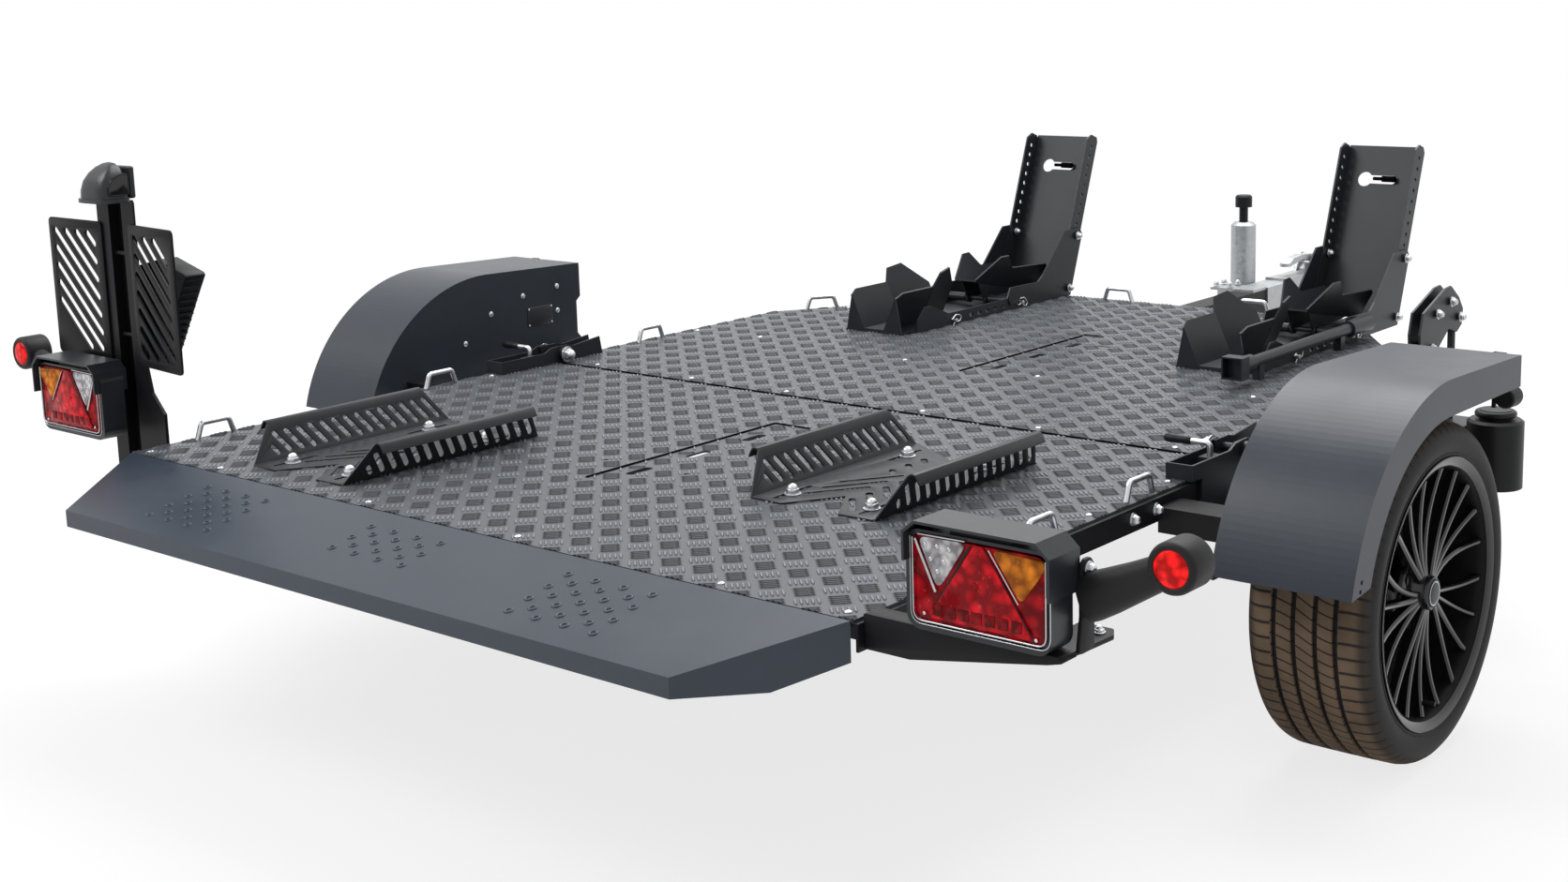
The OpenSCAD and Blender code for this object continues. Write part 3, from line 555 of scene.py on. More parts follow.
NODE_FINISH = {"rear_ramp": ramp_coat_painted_sheen, "rear_deck": deck_paint_and_light, "front_deck": deck_paint_and_light,
               "left_wing": wing_coat_painted_sheen, "right_wing": wing_coat_painted_sheen, "coupling_head": dull_zinc,
               "coupling_lever": dull_zinc, "jack_tube": dull_zinc, "jack_leg": dull_zinc,
               "jack_knob": black_plastic, "plate_lamp": black_plastic, "plate_mast": mast_coat,
               "wheel_wedge": black_plastic, "link_bracket": fold_coat,
               "suspension_canister": black_plastic, "stowed_bar": fold_coat,
               "tie_down_loops": bright_zinc,}
SIDE_FINISH = {
    "axle_arm": chassis_coat, "tyre": tyre_finish, "rim": gloss_coat, "lock_handle": bright_zinc,
    "tail_lamp": lamp_plastic, "tail_lens": red_lens, "lamp_arm": chassis_coat,
    "front_marker": black_rubber, "channel": fold_coat, "chock_frame": fold_coat,
    "chock_upright": fold_coat, "rocker": fold_coat, "fold_bracket": fold_coat,
}
for part, material in SIDE_FINISH.items():
    for side in SIDES:
        NODE_FINISH[f"{side}_{part}"] = material
for name, obj in nodes.items():
    obj.data.materials.clear()
    obj.data.materials.append(NODE_FINISH.get(name, chassis_coat))


# Tread plate

BAR = (29 * MM, 5.4 * MM, 1.6 * MM)     # length, width and height of one raised bar
BARS = 5
BAR_PITCH = 7.6 * MM
BAR_POINTS = 12                         # of one bar's mesh
TREAD_EDGE = 12 * MM                    # how far outside the deck a bar is still cut, not dropped
SEAM_HALF = 1.5 * MM


def tread_bar():
    """One raised bar, pointed at both ends, with a smaller flat top."""
    length, width, height = BAR
    drop_selection()
    bpy.ops.mesh.primitive_cylinder_add(vertices=6, radius=length / 2, depth=height,
                                        location=(0, 0, height / 2))
    bar = bpy.context.object
    bar.scale = (width / length * 1.15, 1, 1)
    settle(bar)
    pick_faces(bar, lambda c, n: n.z < -0.9)
    bpy.ops.mesh.delete(type="FACE")
    leave()
    pick_faces(bar, lambda c, n: n.z > 0.9)
    bpy.ops.transform.resize(value=(0.42, 0.8, 1))
    leave()
    return bar


def tread_block():
    """The ten bars of one repeat: five lean one way, and the next five lie across them."""
    first = tread_bar()
    row_of(first, BARS, (BAR_PITCH, 0, 0))
    second = twin(first)
    half = REPEAT / 4
    back = (BARS - 1) / 2 * BAR_PITCH
    lean = math.pi / 4
    for bars, spot, turn in ((first, -half, -lean), (second, half, lean)):
        start = Matrix.Rotation(turn, 3, "Z") @ Vector((back, 0, 0))
        moved(bars, Vector((spot, spot, 0)) - start, (0, 0, turn))
    return joined([first, second], "tread_block")


def cut_off(obj, point, normal):
    """Removes what lies past a plane."""
    edit(obj)
    bpy.ops.mesh.bisect(plane_co=point, plane_no=normal, clear_outer=True)
    leave()


def tread_field(y_low, y_high, keep_clear, cuts):
    """Bars over the deck from y_low to y_high, clear of its cut lines, slots and holes."""
    field = tread_block()
    across = math.ceil(2 * DECK_HALF / REPEAT) + 1
    along = math.ceil((y_high - y_low) / REPEAT) + 1
    for count, step in ((across, (REPEAT, 0, 0)), (along, (0, REPEAT, 0))):
        row_of(field, count, step)
    quarter = REPEAT_MM // 4
    start = at(TREAD_X + quarter - REPEAT_MM * 15, TREAD_Y + quarter - REPEAT_MM * 16, 0)
    rows = math.floor((y_low - start.y) / REPEAT)
    moved(field, (start.x, start.y + rows * REPEAT, DECK_TOP))
    spots = np.array([v.co for v in field.data.vertices]).reshape(-1, BAR_POINTS, 3).mean(1)
    x, y = spots[:, 0], spots[:, 1]
    away = (y < y_low - TREAD_EDGE) | (y > y_high + TREAD_EDGE) | (abs(x) > DECK_HALF + TREAD_EDGE)
    for x0, x1, y0, y1 in keep_clear:
        away |= (x > x0) & (x < x1) & (y > y0) & (y < y1)
    edit(field, "VERT", "DESELECT")
    leave()
    field.data.vertices.foreach_set("select", np.repeat(away, BAR_POINTS))
    bpy.ops.object.mode_set(mode="EDIT")
    bpy.ops.mesh.delete(type="VERT")
    leave()
    for point, normal in cuts:
        cut_off(field, point, normal)
    return field


def clear_of(x0, x1, y0, y1, margin):
    """Where no bar stands: round a cut in the deck, in millimetres with a margin."""
    low, high = at(x0 - margin, y0 - margin, 0), at(x1 + margin, y1 + margin, 0)
    return low.x, high.x, low.y, high.y


REAR_CLEAR = [clear_of(-4, 4, -654, -174, 3), clear_of(0, 82, -180, -174, 3)]
REAR_CLEAR += [clear_of(34, 52, -573 + 144 * i - 28, -573 + 144 * i + 28, 5) for i in range(3)]
REAR_CLEAR += [clear_of(x - 5, x + 5, y - 5, y + 5, 4) for x,
               y in ((-61, -547), (122, -545), (-307, -247))]
FRONT_CLEAR = [clear_of(-4, 4, 398, 878, 3), clear_of(0, 48, 872, 878, 3),
               clear_of(88, 124, 776, 784, 5)]
FRONT_CLEAR += [clear_of(34, 52, 476 + 142 * i - 26, 476 + 142 * i + 26, 5) for i in range(3)]
FRONT_CLEAR += [clear_of(153, 163, 532, 542, 4)]
SIDE_CUTS = [((DECK_HALF, 0, 0), (1, 0, 0)), ((-DECK_HALF, 0, 0), (-1, 0, 0))]
CORNER = Vector((0.815 - 0.420, 1.330 - 0.770))     # the deck's cut corner, across and along
CORNER_OUT = (CORNER.y, CORNER.x, 0)

rear_tread = tread_field(DECK_REAR, SEAM_Y - SEAM_HALF, REAR_CLEAR,
                         SIDE_CUTS + [((0, DECK_REAR, 0), (0, -1, 0)),
                                      ((0, SEAM_Y - SEAM_HALF, 0), (0, 1, 0))])
place([rear_tread], "rear_tread", deck_paint_and_light, "satin_steel")
front_tread = tread_field(SEAM_Y + SEAM_HALF, DECK_FRONT, FRONT_CLEAR,
                          SIDE_CUTS + [((0, SEAM_Y + SEAM_HALF, 0), (0, -1, 0)),
                                       ((0, DECK_FRONT, 0), (0, 1, 0)),
                                       (at(420, 1330, 0), CORNER_OUT),
                                       (at(-420, 1330, 0), (-CORNER_OUT[0], CORNER_OUT[1], 0))])
place([front_tread], "front_tread", deck_paint_and_light, "satin_steel")


# Revolved, lofted and cut-out shapes


def revolved(profile, centre=(0, 0, 0), axis="X", steps=64, angle=35):
    """A closed profile of (along, radius) in millimetres, spun round an axis."""
    drop_selection()
    bpy.ops.mesh.primitive_circle_add(vertices=len(profile), radius=1, fill_type="NOTHING")
    obj = bpy.context.object
    for vertex, (along, radius) in zip(obj.data.vertices, profile):
        vertex.co = (along * MM, 0, radius * MM)
    edit(obj)
    bpy.ops.mesh.spin(steps=steps, angle=2 * math.pi, center=(0, 0, 0), axis=(1, 0, 0))
    weld()
    outward()
    turn = {"X": (0, 0, 0), "Y": (0, 0, math.pi / 2), "Z": (0, -math.pi / 2, 0)}[axis]
    return smooth(moved(obj, centre, turn), angle)


def lofted(sections, angle=35):
    """A skin over rings with the same number of points, closed at both ends."""
    drop_selection()
    bpy.ops.mesh.primitive_grid_add(x_subdivisions=len(sections[0]),
                                    y_subdivisions=len(sections) - 1, size=1)
    obj = bpy.context.object
    rings = [point for section in sections for point in (*section, section[0])]
    for vertex, point in zip(obj.data.vertices, rings):
        vertex.co = point
    edit(obj)
    weld()
    bpy.ops.mesh.fill_holes(sides=0)
    outward()
    return smooth(settle(obj), angle)


def cut_sheet(outline, depth, edge=0.0):
    """A flat piece from its outline, made as thick as depth says, with its edges eased."""
    drop_selection()
    bpy.ops.mesh.primitive_circle_add(vertices=len(outline), radius=1, fill_type="NGON")
    obj = bpy.context.object
    for vertex, point in zip(obj.data.vertices, outline):
        vertex.co = point
    edit(obj, "FACE")
    bpy.ops.mesh.extrude_region_move(TRANSFORM_OT_translate={"value": depth})
    outward()
    if edge:
        bevelled(obj, edge * MM)
    return smooth(settle(obj), 40)


def pierced_sheet(outline, holes, thick, ease=0.4):
    """A flat sheet in X and Y with holes through it, from z = 0 to its thickness."""
    loops = [[(p[0] * MM, p[1] * MM, 0) for p in loop] for loop in (outline, *holes)]
    obj = curve_mesh(loops, True, dimensions="2D", fill_mode="BOTH",
                     extrude=(thick / 2 - ease) * MM, bevel_depth=ease * MM,
                     bevel_resolution=1, offset=-ease * MM)
    edit(obj)
    weld()
    outward()
    return smooth(moved(obj, (0, 0, thick / 2 * MM)), 30)


def long_hole(start, stop, wide, steps=7):
    """The outline of a slot with round ends."""
    start, stop = Vector(start), Vector(stop)
    along = (stop - start).normalized() * wide / 2
    across = Vector((-along.y, along.x))
    ends = []
    for centre, sign in ((stop, 1), (start, -1)):
        for k in range(steps):
            turn = math.pi * (k / (steps - 1) - 0.5)
            ends.append(centre + sign * (along * math.cos(turn) + across * math.sin(turn)))
    return ends


def eased(corners, radius, steps=5):
    """The outline of a flat shape with its corners rounded, as pairs."""
    corners = [Vector(c) for c in corners]
    path = []
    for i, corner in enumerate(corners):
        after = corners[(i + 1) % len(corners)]
        path += rounded(corners[i - 1], corner, after, radius, steps)
    return path


def spread(master, spots, name, material, slot="zinc_steel"):
    """Copies of one small piece, each standing at its place on the face that looks its way."""
    made = []
    for spot, out in spots:
        one = twin(master)
        one.rotation_euler = Vector(out).to_track_quat("Z", "Y").to_euler()
        one.location = spot
        made.append(one)
    bpy.data.objects.remove(master)
    place(made, name, material, slot)


def on_both_sides(spots):
    return spots + [(Vector((-p.x, p.y, p.z)), (-out[0], out[1], out[2])) for p, out in spots]


# Fasteners


def half_ball(radius, height, lift=0.0, segments=20):
    """A round dome standing on z = lift."""
    drop_selection()
    bpy.ops.mesh.primitive_uv_sphere_add(segments=segments, ring_count=12, radius=radius * MM)
    dome = bpy.context.object
    edit(dome)
    bpy.ops.mesh.bisect(plane_co=(0, 0, 0), plane_no=(0, 0, 1), clear_inner=True, use_fill=True)
    leave()
    dome.scale = (1, 1, height / radius)
    return smooth(moved(dome, (0, 0, lift * MM)), 50)


def acorn_nut(across):
    """A hexagon nut with a domed cap, on a washer."""
    thick = across * 0.5
    nut = cylinder(across / 1.732 * MM, thick * MM, (0, 0, thick / 2 * MM), sides=6)
    edit(nut)
    bpy.ops.mesh.bevel(offset=across * 0.05 * MM, segments=2, affect="EDGES")
    leave()
    pieces = [smooth(nut, 40), half_ball(across * 0.45, across * 0.42, thick, 16)]
    washer = cylinder(across * 0.72 * MM, 2 * MM, (0, 0, 1 * MM), sides=28)
    pieces.append(bevelled(washer, 0.4 * MM))
    return joined(pieces, "acorn_nut")


def coach_bolt(radius):
    """A low round bolt head with a pressed edge."""
    return joined([half_ball(radius, radius * 0.42, 0.8),
                   cylinder(radius * MM, 0.9 * MM, (0, 0, 0.45 * MM))], "coach_bolt")


RAIL_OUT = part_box("side_rails")[1].x / MM
BOLT_SPOTS = ((793, -157), (796, -395), (797, -640), (790, -958), (575, -960), (174, -960),
              (418, 48), (165, 48), (690, 48), (793, 470), (610, 482), (165, 433), (690, 905),
              (440, 1290))
deck_bolts = [(at(x * s, y, DECK_MM), UP) for s in (-1, 1) for x, y in BOLT_SPOTS]
spread(coach_bolt(5.5), deck_bolts, "deck_bolts", bright_zinc)

rail_nuts = [(at(RAIL_OUT, y, 401), OUT) for y in (-315, -246, -700, -640, 180, 560)]
spread(acorn_nut(14), on_both_sides(rail_nuts), "rail_nuts", bright_zinc)

CHANNELS = {"left": (-416, -912), "right": (434, -595)}     # middle and rear end
CHANNEL_SHEET = 3
channel_nuts = [(at(x + dx, rear + dy, DECK_MM + CHANNEL_SHEET), UP)
                for x, rear in CHANNELS.values() for dx in (-75, 81) for dy in (40, 338)]
spread(acorn_nut(19), channel_nuts, "channel_nuts", bright_zinc)

chock_nuts = []
for chock in CHOCKS:
    for s in (-1, 1):
        chock_nuts += [(at(chock + s * 99, CHOCK_Y + y, z), (s, 0, 0))
                       for y, z in ((668, 567), (628, 441))]
    chock_nuts += [(at(chock - 84, CHOCK_Y + y, z), OUT) for y, z in ((668, 567), (650, 470))]
spread(acorn_nut(14), chock_nuts, "chock_nuts", bright_zinc)

wing_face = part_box("right_wing")[0].x / MM
wing_bolts = [(at(wing_face, y, z), (-1, 0, 0)) for y, z in
              ((-75, 459), (1, 513), (96, 540), (199, 549), (198, 494), (-240, 380), (255, 400))]
spread(coach_bolt(6), on_both_sides(wing_bolts), "wing_bolts", bright_zinc)

fold_nuts = [(at(x, 34, 439), (s, 0, 0)) for x, s in ((767, -1), (837, 1))]
spread(acorn_nut(23), on_both_sides(fold_nuts), "fold_nuts", bright_zinc)

link_nuts = [(at(884 + dx, 570 + y, 537 + z), (s, 0, 0)) for dx, s in ((-4, -1), (28, 1))
             for y, z in ((8, -10), (134, 30), (30, 50), (92, 64))]
spread(acorn_nut(13), link_nuts, "link_nuts", bright_zinc)


# Ramp dimples: three groups of raised rings

RAMP_TOP_Y = -983
RAMP_DROP, RAMP_RUN = 41, 202
RAMP_SLOPE = math.atan2(RAMP_DROP, RAMP_RUN)


def ramp_point(x, y):
    return at(x, y, DECK_MM - RAMP_DROP * (RAMP_TOP_Y - y) / RAMP_RUN)


def dimple():
    """One raised ring, open in the middle."""
    drop_selection()
    bpy.ops.mesh.primitive_torus_add(major_segments=20, minor_segments=8, major_radius=5.4 * MM,
                                     minor_radius=2.0 * MM)
    ring = bpy.context.object
    ring.scale = (1, 1, 0.75)
    return smooth(settle(ring), 60)


RAMP_UP = (0, -math.sin(RAMP_SLOPE), math.cos(RAMP_SLOPE))
dimples = []
for centre, rows in ((-432, 7), (0, 5), (432, 7)):
    for row in range(rows):
        for x in (-54, 0, 54) if row % 2 else (-81, -27, 27, 81):
            dimples.append((ramp_point(centre + x, -1028 - 18.5 * row), RAMP_UP))
spread(dimple(), dimples, "ramp_dimples", ramp_coat_painted_sheen, "satin_steel")


# Guide channels: a floor with chevron slots between two leaning, slotted sides with rolled lips

CHANNEL_HALF = 120
WALL = 69.5             # height of a side along its slope
LEAN = math.radians(23)


def channel_floor():
    outline = [(-119, -8), (-56, -10), (0, 78), (56, -10), (119, -8), (119, 425), (0, 356),
               (-119, 425)]
    holes = [long_hole((-62, 58 + 43 * i), (-4, 142 + 43 * i), 8, 4) for i in range(3)]
    holes += [long_hole((60, 20 + 43 * i), (20, 69 + 43 * i), 11, 4) for i in range(5)]
    holes += [long_hole((-26, 233 + 43 * i), (-40, 250 + 43 * i), 11, 4) for i in range(3)]
    holes += [long_hole((s * 84, y), (s * 84, y + 84), 8, 4) for s in (-1, 1) for y in (10, 300)]
    return pierced_sheet(outline, holes, CHANNEL_SHEET)


def channel_side():
    """One flat side: along Y of the trailer and up its slope."""
    slots = [long_hole((401 - 25.3 * i, 15), (379 - 25.3 * i, 49), 10, 5) for i in range(14)]
    slots.append(long_hole((47, 15), (40, 26), 9, 5))
    return pierced_sheet([(-8, 0), (425, 0), (383, WALL), (44, WALL)], slots, CHANNEL_SHEET)


def channel_lip(sign):
    top = Vector((sign * (CHANNEL_HALF + WALL * math.sin(LEAN)), WALL * math.cos(LEAN)))
    outer = [(0, -3), (3, 0.6), (7, 1.6), (13, 0.2), (17, -5), (22, -15), (19.5, -16), (14.5, -7),
             (11, -2.6), (7, -1.6), (3, -4)]
    line = [at(top.x + sign * u, 44, DECK_MM + 1 + top.y + v) for u, v in outer]
    return smooth(cut_sheet(line, (0, 339 * MM, 0), 0.4), 35)


def guide_channel(side):
    middle_x, rear = CHANNELS[side]
    base = at(middle_x, rear, DECK_MM)
    pieces = [moved(channel_floor(), base)]
    for sign in (-1, 1):
        up = Vector((sign * math.sin(LEAN), 0, math.cos(LEAN)))
        frame_turn = Matrix([(0, up.x, 0), (1, up.y, 0), (0, up.z, 0)])
        out = Vector((0, 1, 0)).cross(up)
        for row in range(3):
            frame_turn[row][2] = out[row]
        wall = moved(channel_side(), (0, 0, 0), tuple(frame_turn.to_euler()))
        # the sheet's thickness lies outside its foot line on both sides
        inward = out * CHANNEL_SHEET * MM if sign < 0 else Vector()
        pieces.append(moved(wall, base + Vector((sign * (CHANNEL_HALF - 1) * MM, 0, 0)) - inward))
        pieces.append(moved(channel_lip(sign), (middle_x * MM, rear * MM, 0)))
    place(pieces, f"{side}_guide_channel", fold_coat, "satin_steel", instead=(f"{side}_channel",))


for side in SIDES:
    guide_channel(side)


# Painted shade on the deck: dark strips over the seam and the edges of its centre hatches

LINE_Z = 421.2


def shade_strip(start, stop, wide=5):
    """A thin dark strip lying just above the plate: painted shade over a gap."""
    a, b = at(*start, LINE_Z), at(*stop, LINE_Z)
    across = (b - a).cross(Vector((0, 0, 1))).normalized() * wide / 2 * MM
    return cut_sheet([a - across, b - across, b + across, a + across], (0, 0, 1.6 * MM), 0.2)


lines = [shade_strip((-812, 20), (812, 20), 7), shade_strip((0, -652), (0, -178)),
         shade_strip((0, -178), (80, -178)), shade_strip((0, 400), (0, 876)),
         shade_strip((0, 876), (46, 876))]
place(lines, "deck_gap_shade", deep_shade, "satin_steel")


# Tie-down loops: a square-cornered bent bar on two feet

LOOPS = [(-RAIL_X, y, 90) for y in (-815, -284, 327)]
LOOPS += [(RAIL_X, y, 90) for y in (-535, -262, 327)]
LOOPS += [(-180, 1318, 0), (180, 1318, 0)]
CORNER_X = 815 - 395 * 95 / 560 - 10
CORNER_TURN = math.degrees(math.atan2(560, 395))
LOOPS += [(CORNER_X, 860, -CORNER_TURN), (-CORNER_X, 860, CORNER_TURN)]


def tie_loop():
    points = [Vector(p) * MM for p in ((-40, 0, -2), (-37, 0, 5), (-28.5, 0, 29), (28.5, 0, 29),
                                       (37, 0, 5), (40, 0, -2))]
    bar = bent_rod(points, 5 * MM, 9 * MM, sides=16)
    return smooth(bar, 50)


def make_loops():
    master = tie_loop()
    made = []
    for x, y, turn in LOOPS:
        one = twin(master)
        made.append(moved(one, at(x, y, DECK_MM), (0, 0, math.radians(turn))))
    bpy.data.objects.remove(master)
    place(made, "bent_loops", bright_zinc, "zinc_steel", instead=("tie_down_loops",))


make_loops()


# Lock handles: a bent rod with a moulded grip, both pointing to the left

HANDLE_Y, HANDLE_Z = -40, 461


def lock_handle(side):
    x = SIDES[side] * RAIL_X
    body, node = f"{side}_handle", f"{side}_lock_handle"
    rod = bent_rod([at(x, HANDLE_Y, 427), at(x, HANDLE_Y, HANDLE_Z),
                    at(x - 40, HANDLE_Y, HANDLE_Z)], 4.8 * MM, 9 * MM, sides=16)
    place([smooth(rod, 50)], f"{side}_handle_rod", bright_zinc, "zinc_steel", body, (node,))
    profile = [(0, 0.2), (0, 5.4), (-3, 6.6), (-14, 6.6), (-30, 7.5), (-41, 7.7), (-47, 6.2),
               (-50, 3), (-50.5, 0.2)]
    grip = revolved(profile, at(x - 33.5, HANDLE_Y, HANDLE_Z), steps=28)
    place([grip], f"{side}_handle_grip", black_plastic, "black_plastic", body, (node,))


for side in SIDES:
    lock_handle(side)


# Wheels: tyre with a ribbed tread, and a rim whose slim spokes fan out in five groups

TYRE_SIDE = [(8, 200), (8, 207), (4.6, 210.5), (2.4, 213), (2.2, 215.4), (3.6, 217), (1.6, 221),
             (0.3, 228), (0, 234), (0.8, 241), (2.4, 247), (4.6, 252), (8, 256.5), (12.5, 259.8),
             (18, 262.3), (26, 264.2)]
TREAD = [(53, 264.7), (52.2, 264.2), (51.6, 258), (44.4, 258), (43.8, 264.3), (43, 264.9),
         (22, 265), (21.2, 264.5), (20.6, 258), (13.4, 258), (12.8, 264.5), (12, 265)]
HALF_TYRE = 97.5
SPOKE_GROUPS = 5
GROUP_TURN = 360 / SPOKE_GROUPS
FAN = (-27, -9, 9, 27)          # degrees from the middle of a group to its spokes' tips
FIRST_GROUP, FIRST_BOLT = 38, 2
BOLT_CIRCLE = 47.5


def tyre(side):
    outer = [(HALF_TYRE - inset, r) for inset, r in TYRE_SIDE] + TREAD
    profile = outer + [(-x, r) for x, r in reversed(outer)]
    shape = revolved(profile, middle(f"{side}_tyre"), steps=144, angle=40)
    place([shape], f"{side}_ribbed_tyre", tyre_finish, "tyre_rubber", f"{side}_wheel",
          (f"{side}_tyre",))


def spoke(tip):
    """One slim spoke from the hub to the rim's edge, drawn for the right wheel."""
    sections = []
    for k in range(9):
        t = k / 8
        radius = 26 + 166 * t
        turn = math.radians(tip * (0.5 + 0.5 * t ** 0.75) + 7 * (1 - t) ** 2)
        along = Vector((0, math.cos(turn), math.sin(turn)))
        across = Vector((0, -math.sin(turn), math.cos(turn)))
        half = 5.4 - 1.5 * t + 1.4 * max(0, t - 0.85) / 0.15
        front = 70 + 8 * (1 - t) ** 2 + 15 * t ** 2.2
        back = front - 19 + 6 * t
        ring = [(-half, back), (-half * 0.95, front - 3.2), (-half * 0.45, front - 0.4),
                (half * 0.45, front - 0.4), (half * 0.95, front - 3.2), (half, back)]
        sections.append([along * radius * MM + across * w * MM + Vector((x * MM, 0, 0))
                         for w, x in ring])
    return lofted(sections, 28)


def rim(side):
    barrel = [(-94.5, 190), (-94.5, 205), (-93.5, 206), (-90.5, 206), (-89.8, 205), (-89.8, 199.6),
              (89.8, 199.6), (89.8, 205), (91, 205.4), (92.4, 204), (92.4, 199), (88, 195.6),
              (82, 193), (74, 191), (63, 190), (37, 182), (-57, 182), (-77, 186)]
    hub = [(-24, 21), (-24, 56), (44, 60), (54, 64), (60, 62), (62, 56), (63, 32), (68, 29),
           (80, 27), (85, 25.5), (86.5, 23), (85.5, 21.4), (83, 21), (83, 0.2), (46, 0.2), (46, 21)]
    lip = [(90, 206), (94, 208), (95.4, 210.6), (96.6, 211), (97.3, 210), (97, 207.6), (95, 203.5),
           (93.8, 199), (91, 196.2), (89.6, 197), (91.6, 200), (91.8, 204)]
    seat = [(-2, 10.5), (1.2, 10.5), (1.8, 9.6), (1.2, 8.8), (-1, 8.2), (-2, 8.2)]
    bolt = [(-2, 0.2), (-2, 7.4), (0.6, 7.4), (1.6, 6.2), (1.6, 0.2)]
    wheel = [revolved(hub, steps=72)]
    drum = revolved(barrel, steps=144)
    wheel.append(revolved(lip, steps=144))
    for group in range(SPOKE_GROUPS):
        turn = math.radians(group * GROUP_TURN + FIRST_GROUP)
        wheel += [moved(spoke(tip), (0, 0, 0), (turn, 0, 0)) for tip in FAN]
    cap = revolved([(83.4, 0.2), (83.4, 20.6), (85.6, 20), (87.4, 16.5), (88.2, 9), (88.4, 0.2)],
                   steps=48)
    ring = revolved([(85, 19), (87.4, 19.4), (87.8, 18.2), (87.2, 17)], steps=48)
    seats, bolts = [], []
    for group in range(SPOKE_GROUPS):
        turn = math.radians(group * GROUP_TURN + FIRST_BOLT)
        spot = Vector((62.5 * MM, BOLT_CIRCLE * MM * math.cos(turn),
                       BOLT_CIRCLE * MM * math.sin(turn)))
        seats.append(moved(revolved(seat, steps=28), spot))
        bolts.append(moved(revolved(bolt, steps=6, angle=20), spot))
    valve = [cylinder(r * MM, depth * MM, (x * MM, 0, -176 * MM), "X", 14)
             for r, depth, x in ((2.6, 26, 78), (3.6, 9, 88))]
    parts = [(wheel, "spoked_rim", gloss_coat, "gloss_alloy", "rim"),
             ([drum], "rim_barrel", shaded_barrel, "gloss_alloy"),
             ([cap], "hub_cap", fold_coat, "gloss_alloy"),
             ([ring], "hub_ring", lamp_rim, "zinc_steel"),
             (seats, "lug_seats", gloss_coat, "gloss_alloy"),
             (bolts, "wheel_bolts", gloss_coat, "gloss_alloy"),
             (valve, "tyre_valve", black_rubber, "black_rubber")]
    place_parts(side, parts, f"{side}_wheel", middle(f"{side}_tyre"))


for side in SIDES:
    tyre(side)
    rim(side)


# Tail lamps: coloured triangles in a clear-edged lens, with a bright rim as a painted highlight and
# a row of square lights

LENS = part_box("right_tail_lens")
LENS_W = (LENS[1].x - LENS[0].x) / MM
LENS_H = (LENS[1].z - LENS[0].z) / MM


def lens_spot(u, v, out=0.0):
    """A place on the right lens, from its inner lower corner, out millimetres behind its face."""
    return Vector((LENS[0].x + (u * LENS_W + 3) * MM, LENS[0].y - out * MM,
                   LENS[0].z + (v * LENS_H + 4) * MM))


def lens_shape(corners, radius, depth, sunk=0.0, edge=0.8):
    """A coloured piece of the lens, in parts of its width and height."""
    flat = eased([(u * LENS_W, v * LENS_H) for u, v in corners], radius)
    outline = [lens_spot(p.x / LENS_W, p.y / LENS_H, -sunk) for p in flat]
    return cut_sheet(outline, (0, -depth * MM, 0), edge)


def lens_bar(start, stop, wide, out):
    """A straight strip on the lens between two places."""
    a, b = lens_spot(*start, 0), lens_spot(*stop, 0)
    across = (b - a).cross(Vector((0, 1, 0))).normalized() * wide / 2 * MM
    return cut_sheet([a - across, b - across, b + across, a + across], (0, -out * MM, 0), 0.25)


def lens_dot(radius, height, segments, u, v, out):
    return moved(half_ball(radius, height, 0, segments), lens_spot(u, v, out), (math.pi / 2, 0, 0))


def frame_line(inset, radius, thick, out):
    """A bright round bar down both sides and along the foot of the lens, left off the shaded top: a
    painted highlight on the lens's edge.
    """
    w, h = LENS_W, LENS_H
    flat = eased([(inset, inset), (w - inset, inset), (w - inset, h - inset), (inset, h - inset)],
                 radius, 7)
    flat = [Vector((inset, h * 0.94))] + flat[:len(flat) // 2] + [Vector((w - inset, h * 0.94))]
    spots = [lens_spot(p.x / w, p.y / h, out) for p in flat]
    return smooth(bent_rod(spots, thick * MM, sides=12), 60)


WHITE = [(0.05, 0.96), (0.42, 0.975), (0.20, 0.39)]
AMBER = [(0.60, 0.96), (0.985, 0.93), (0.985, 0.84), (0.815, 0.43)]
CENTRE = [(0.475, 0.97), (0.54, 0.97), (0.90, 0.05), (0.12, 0.07)]


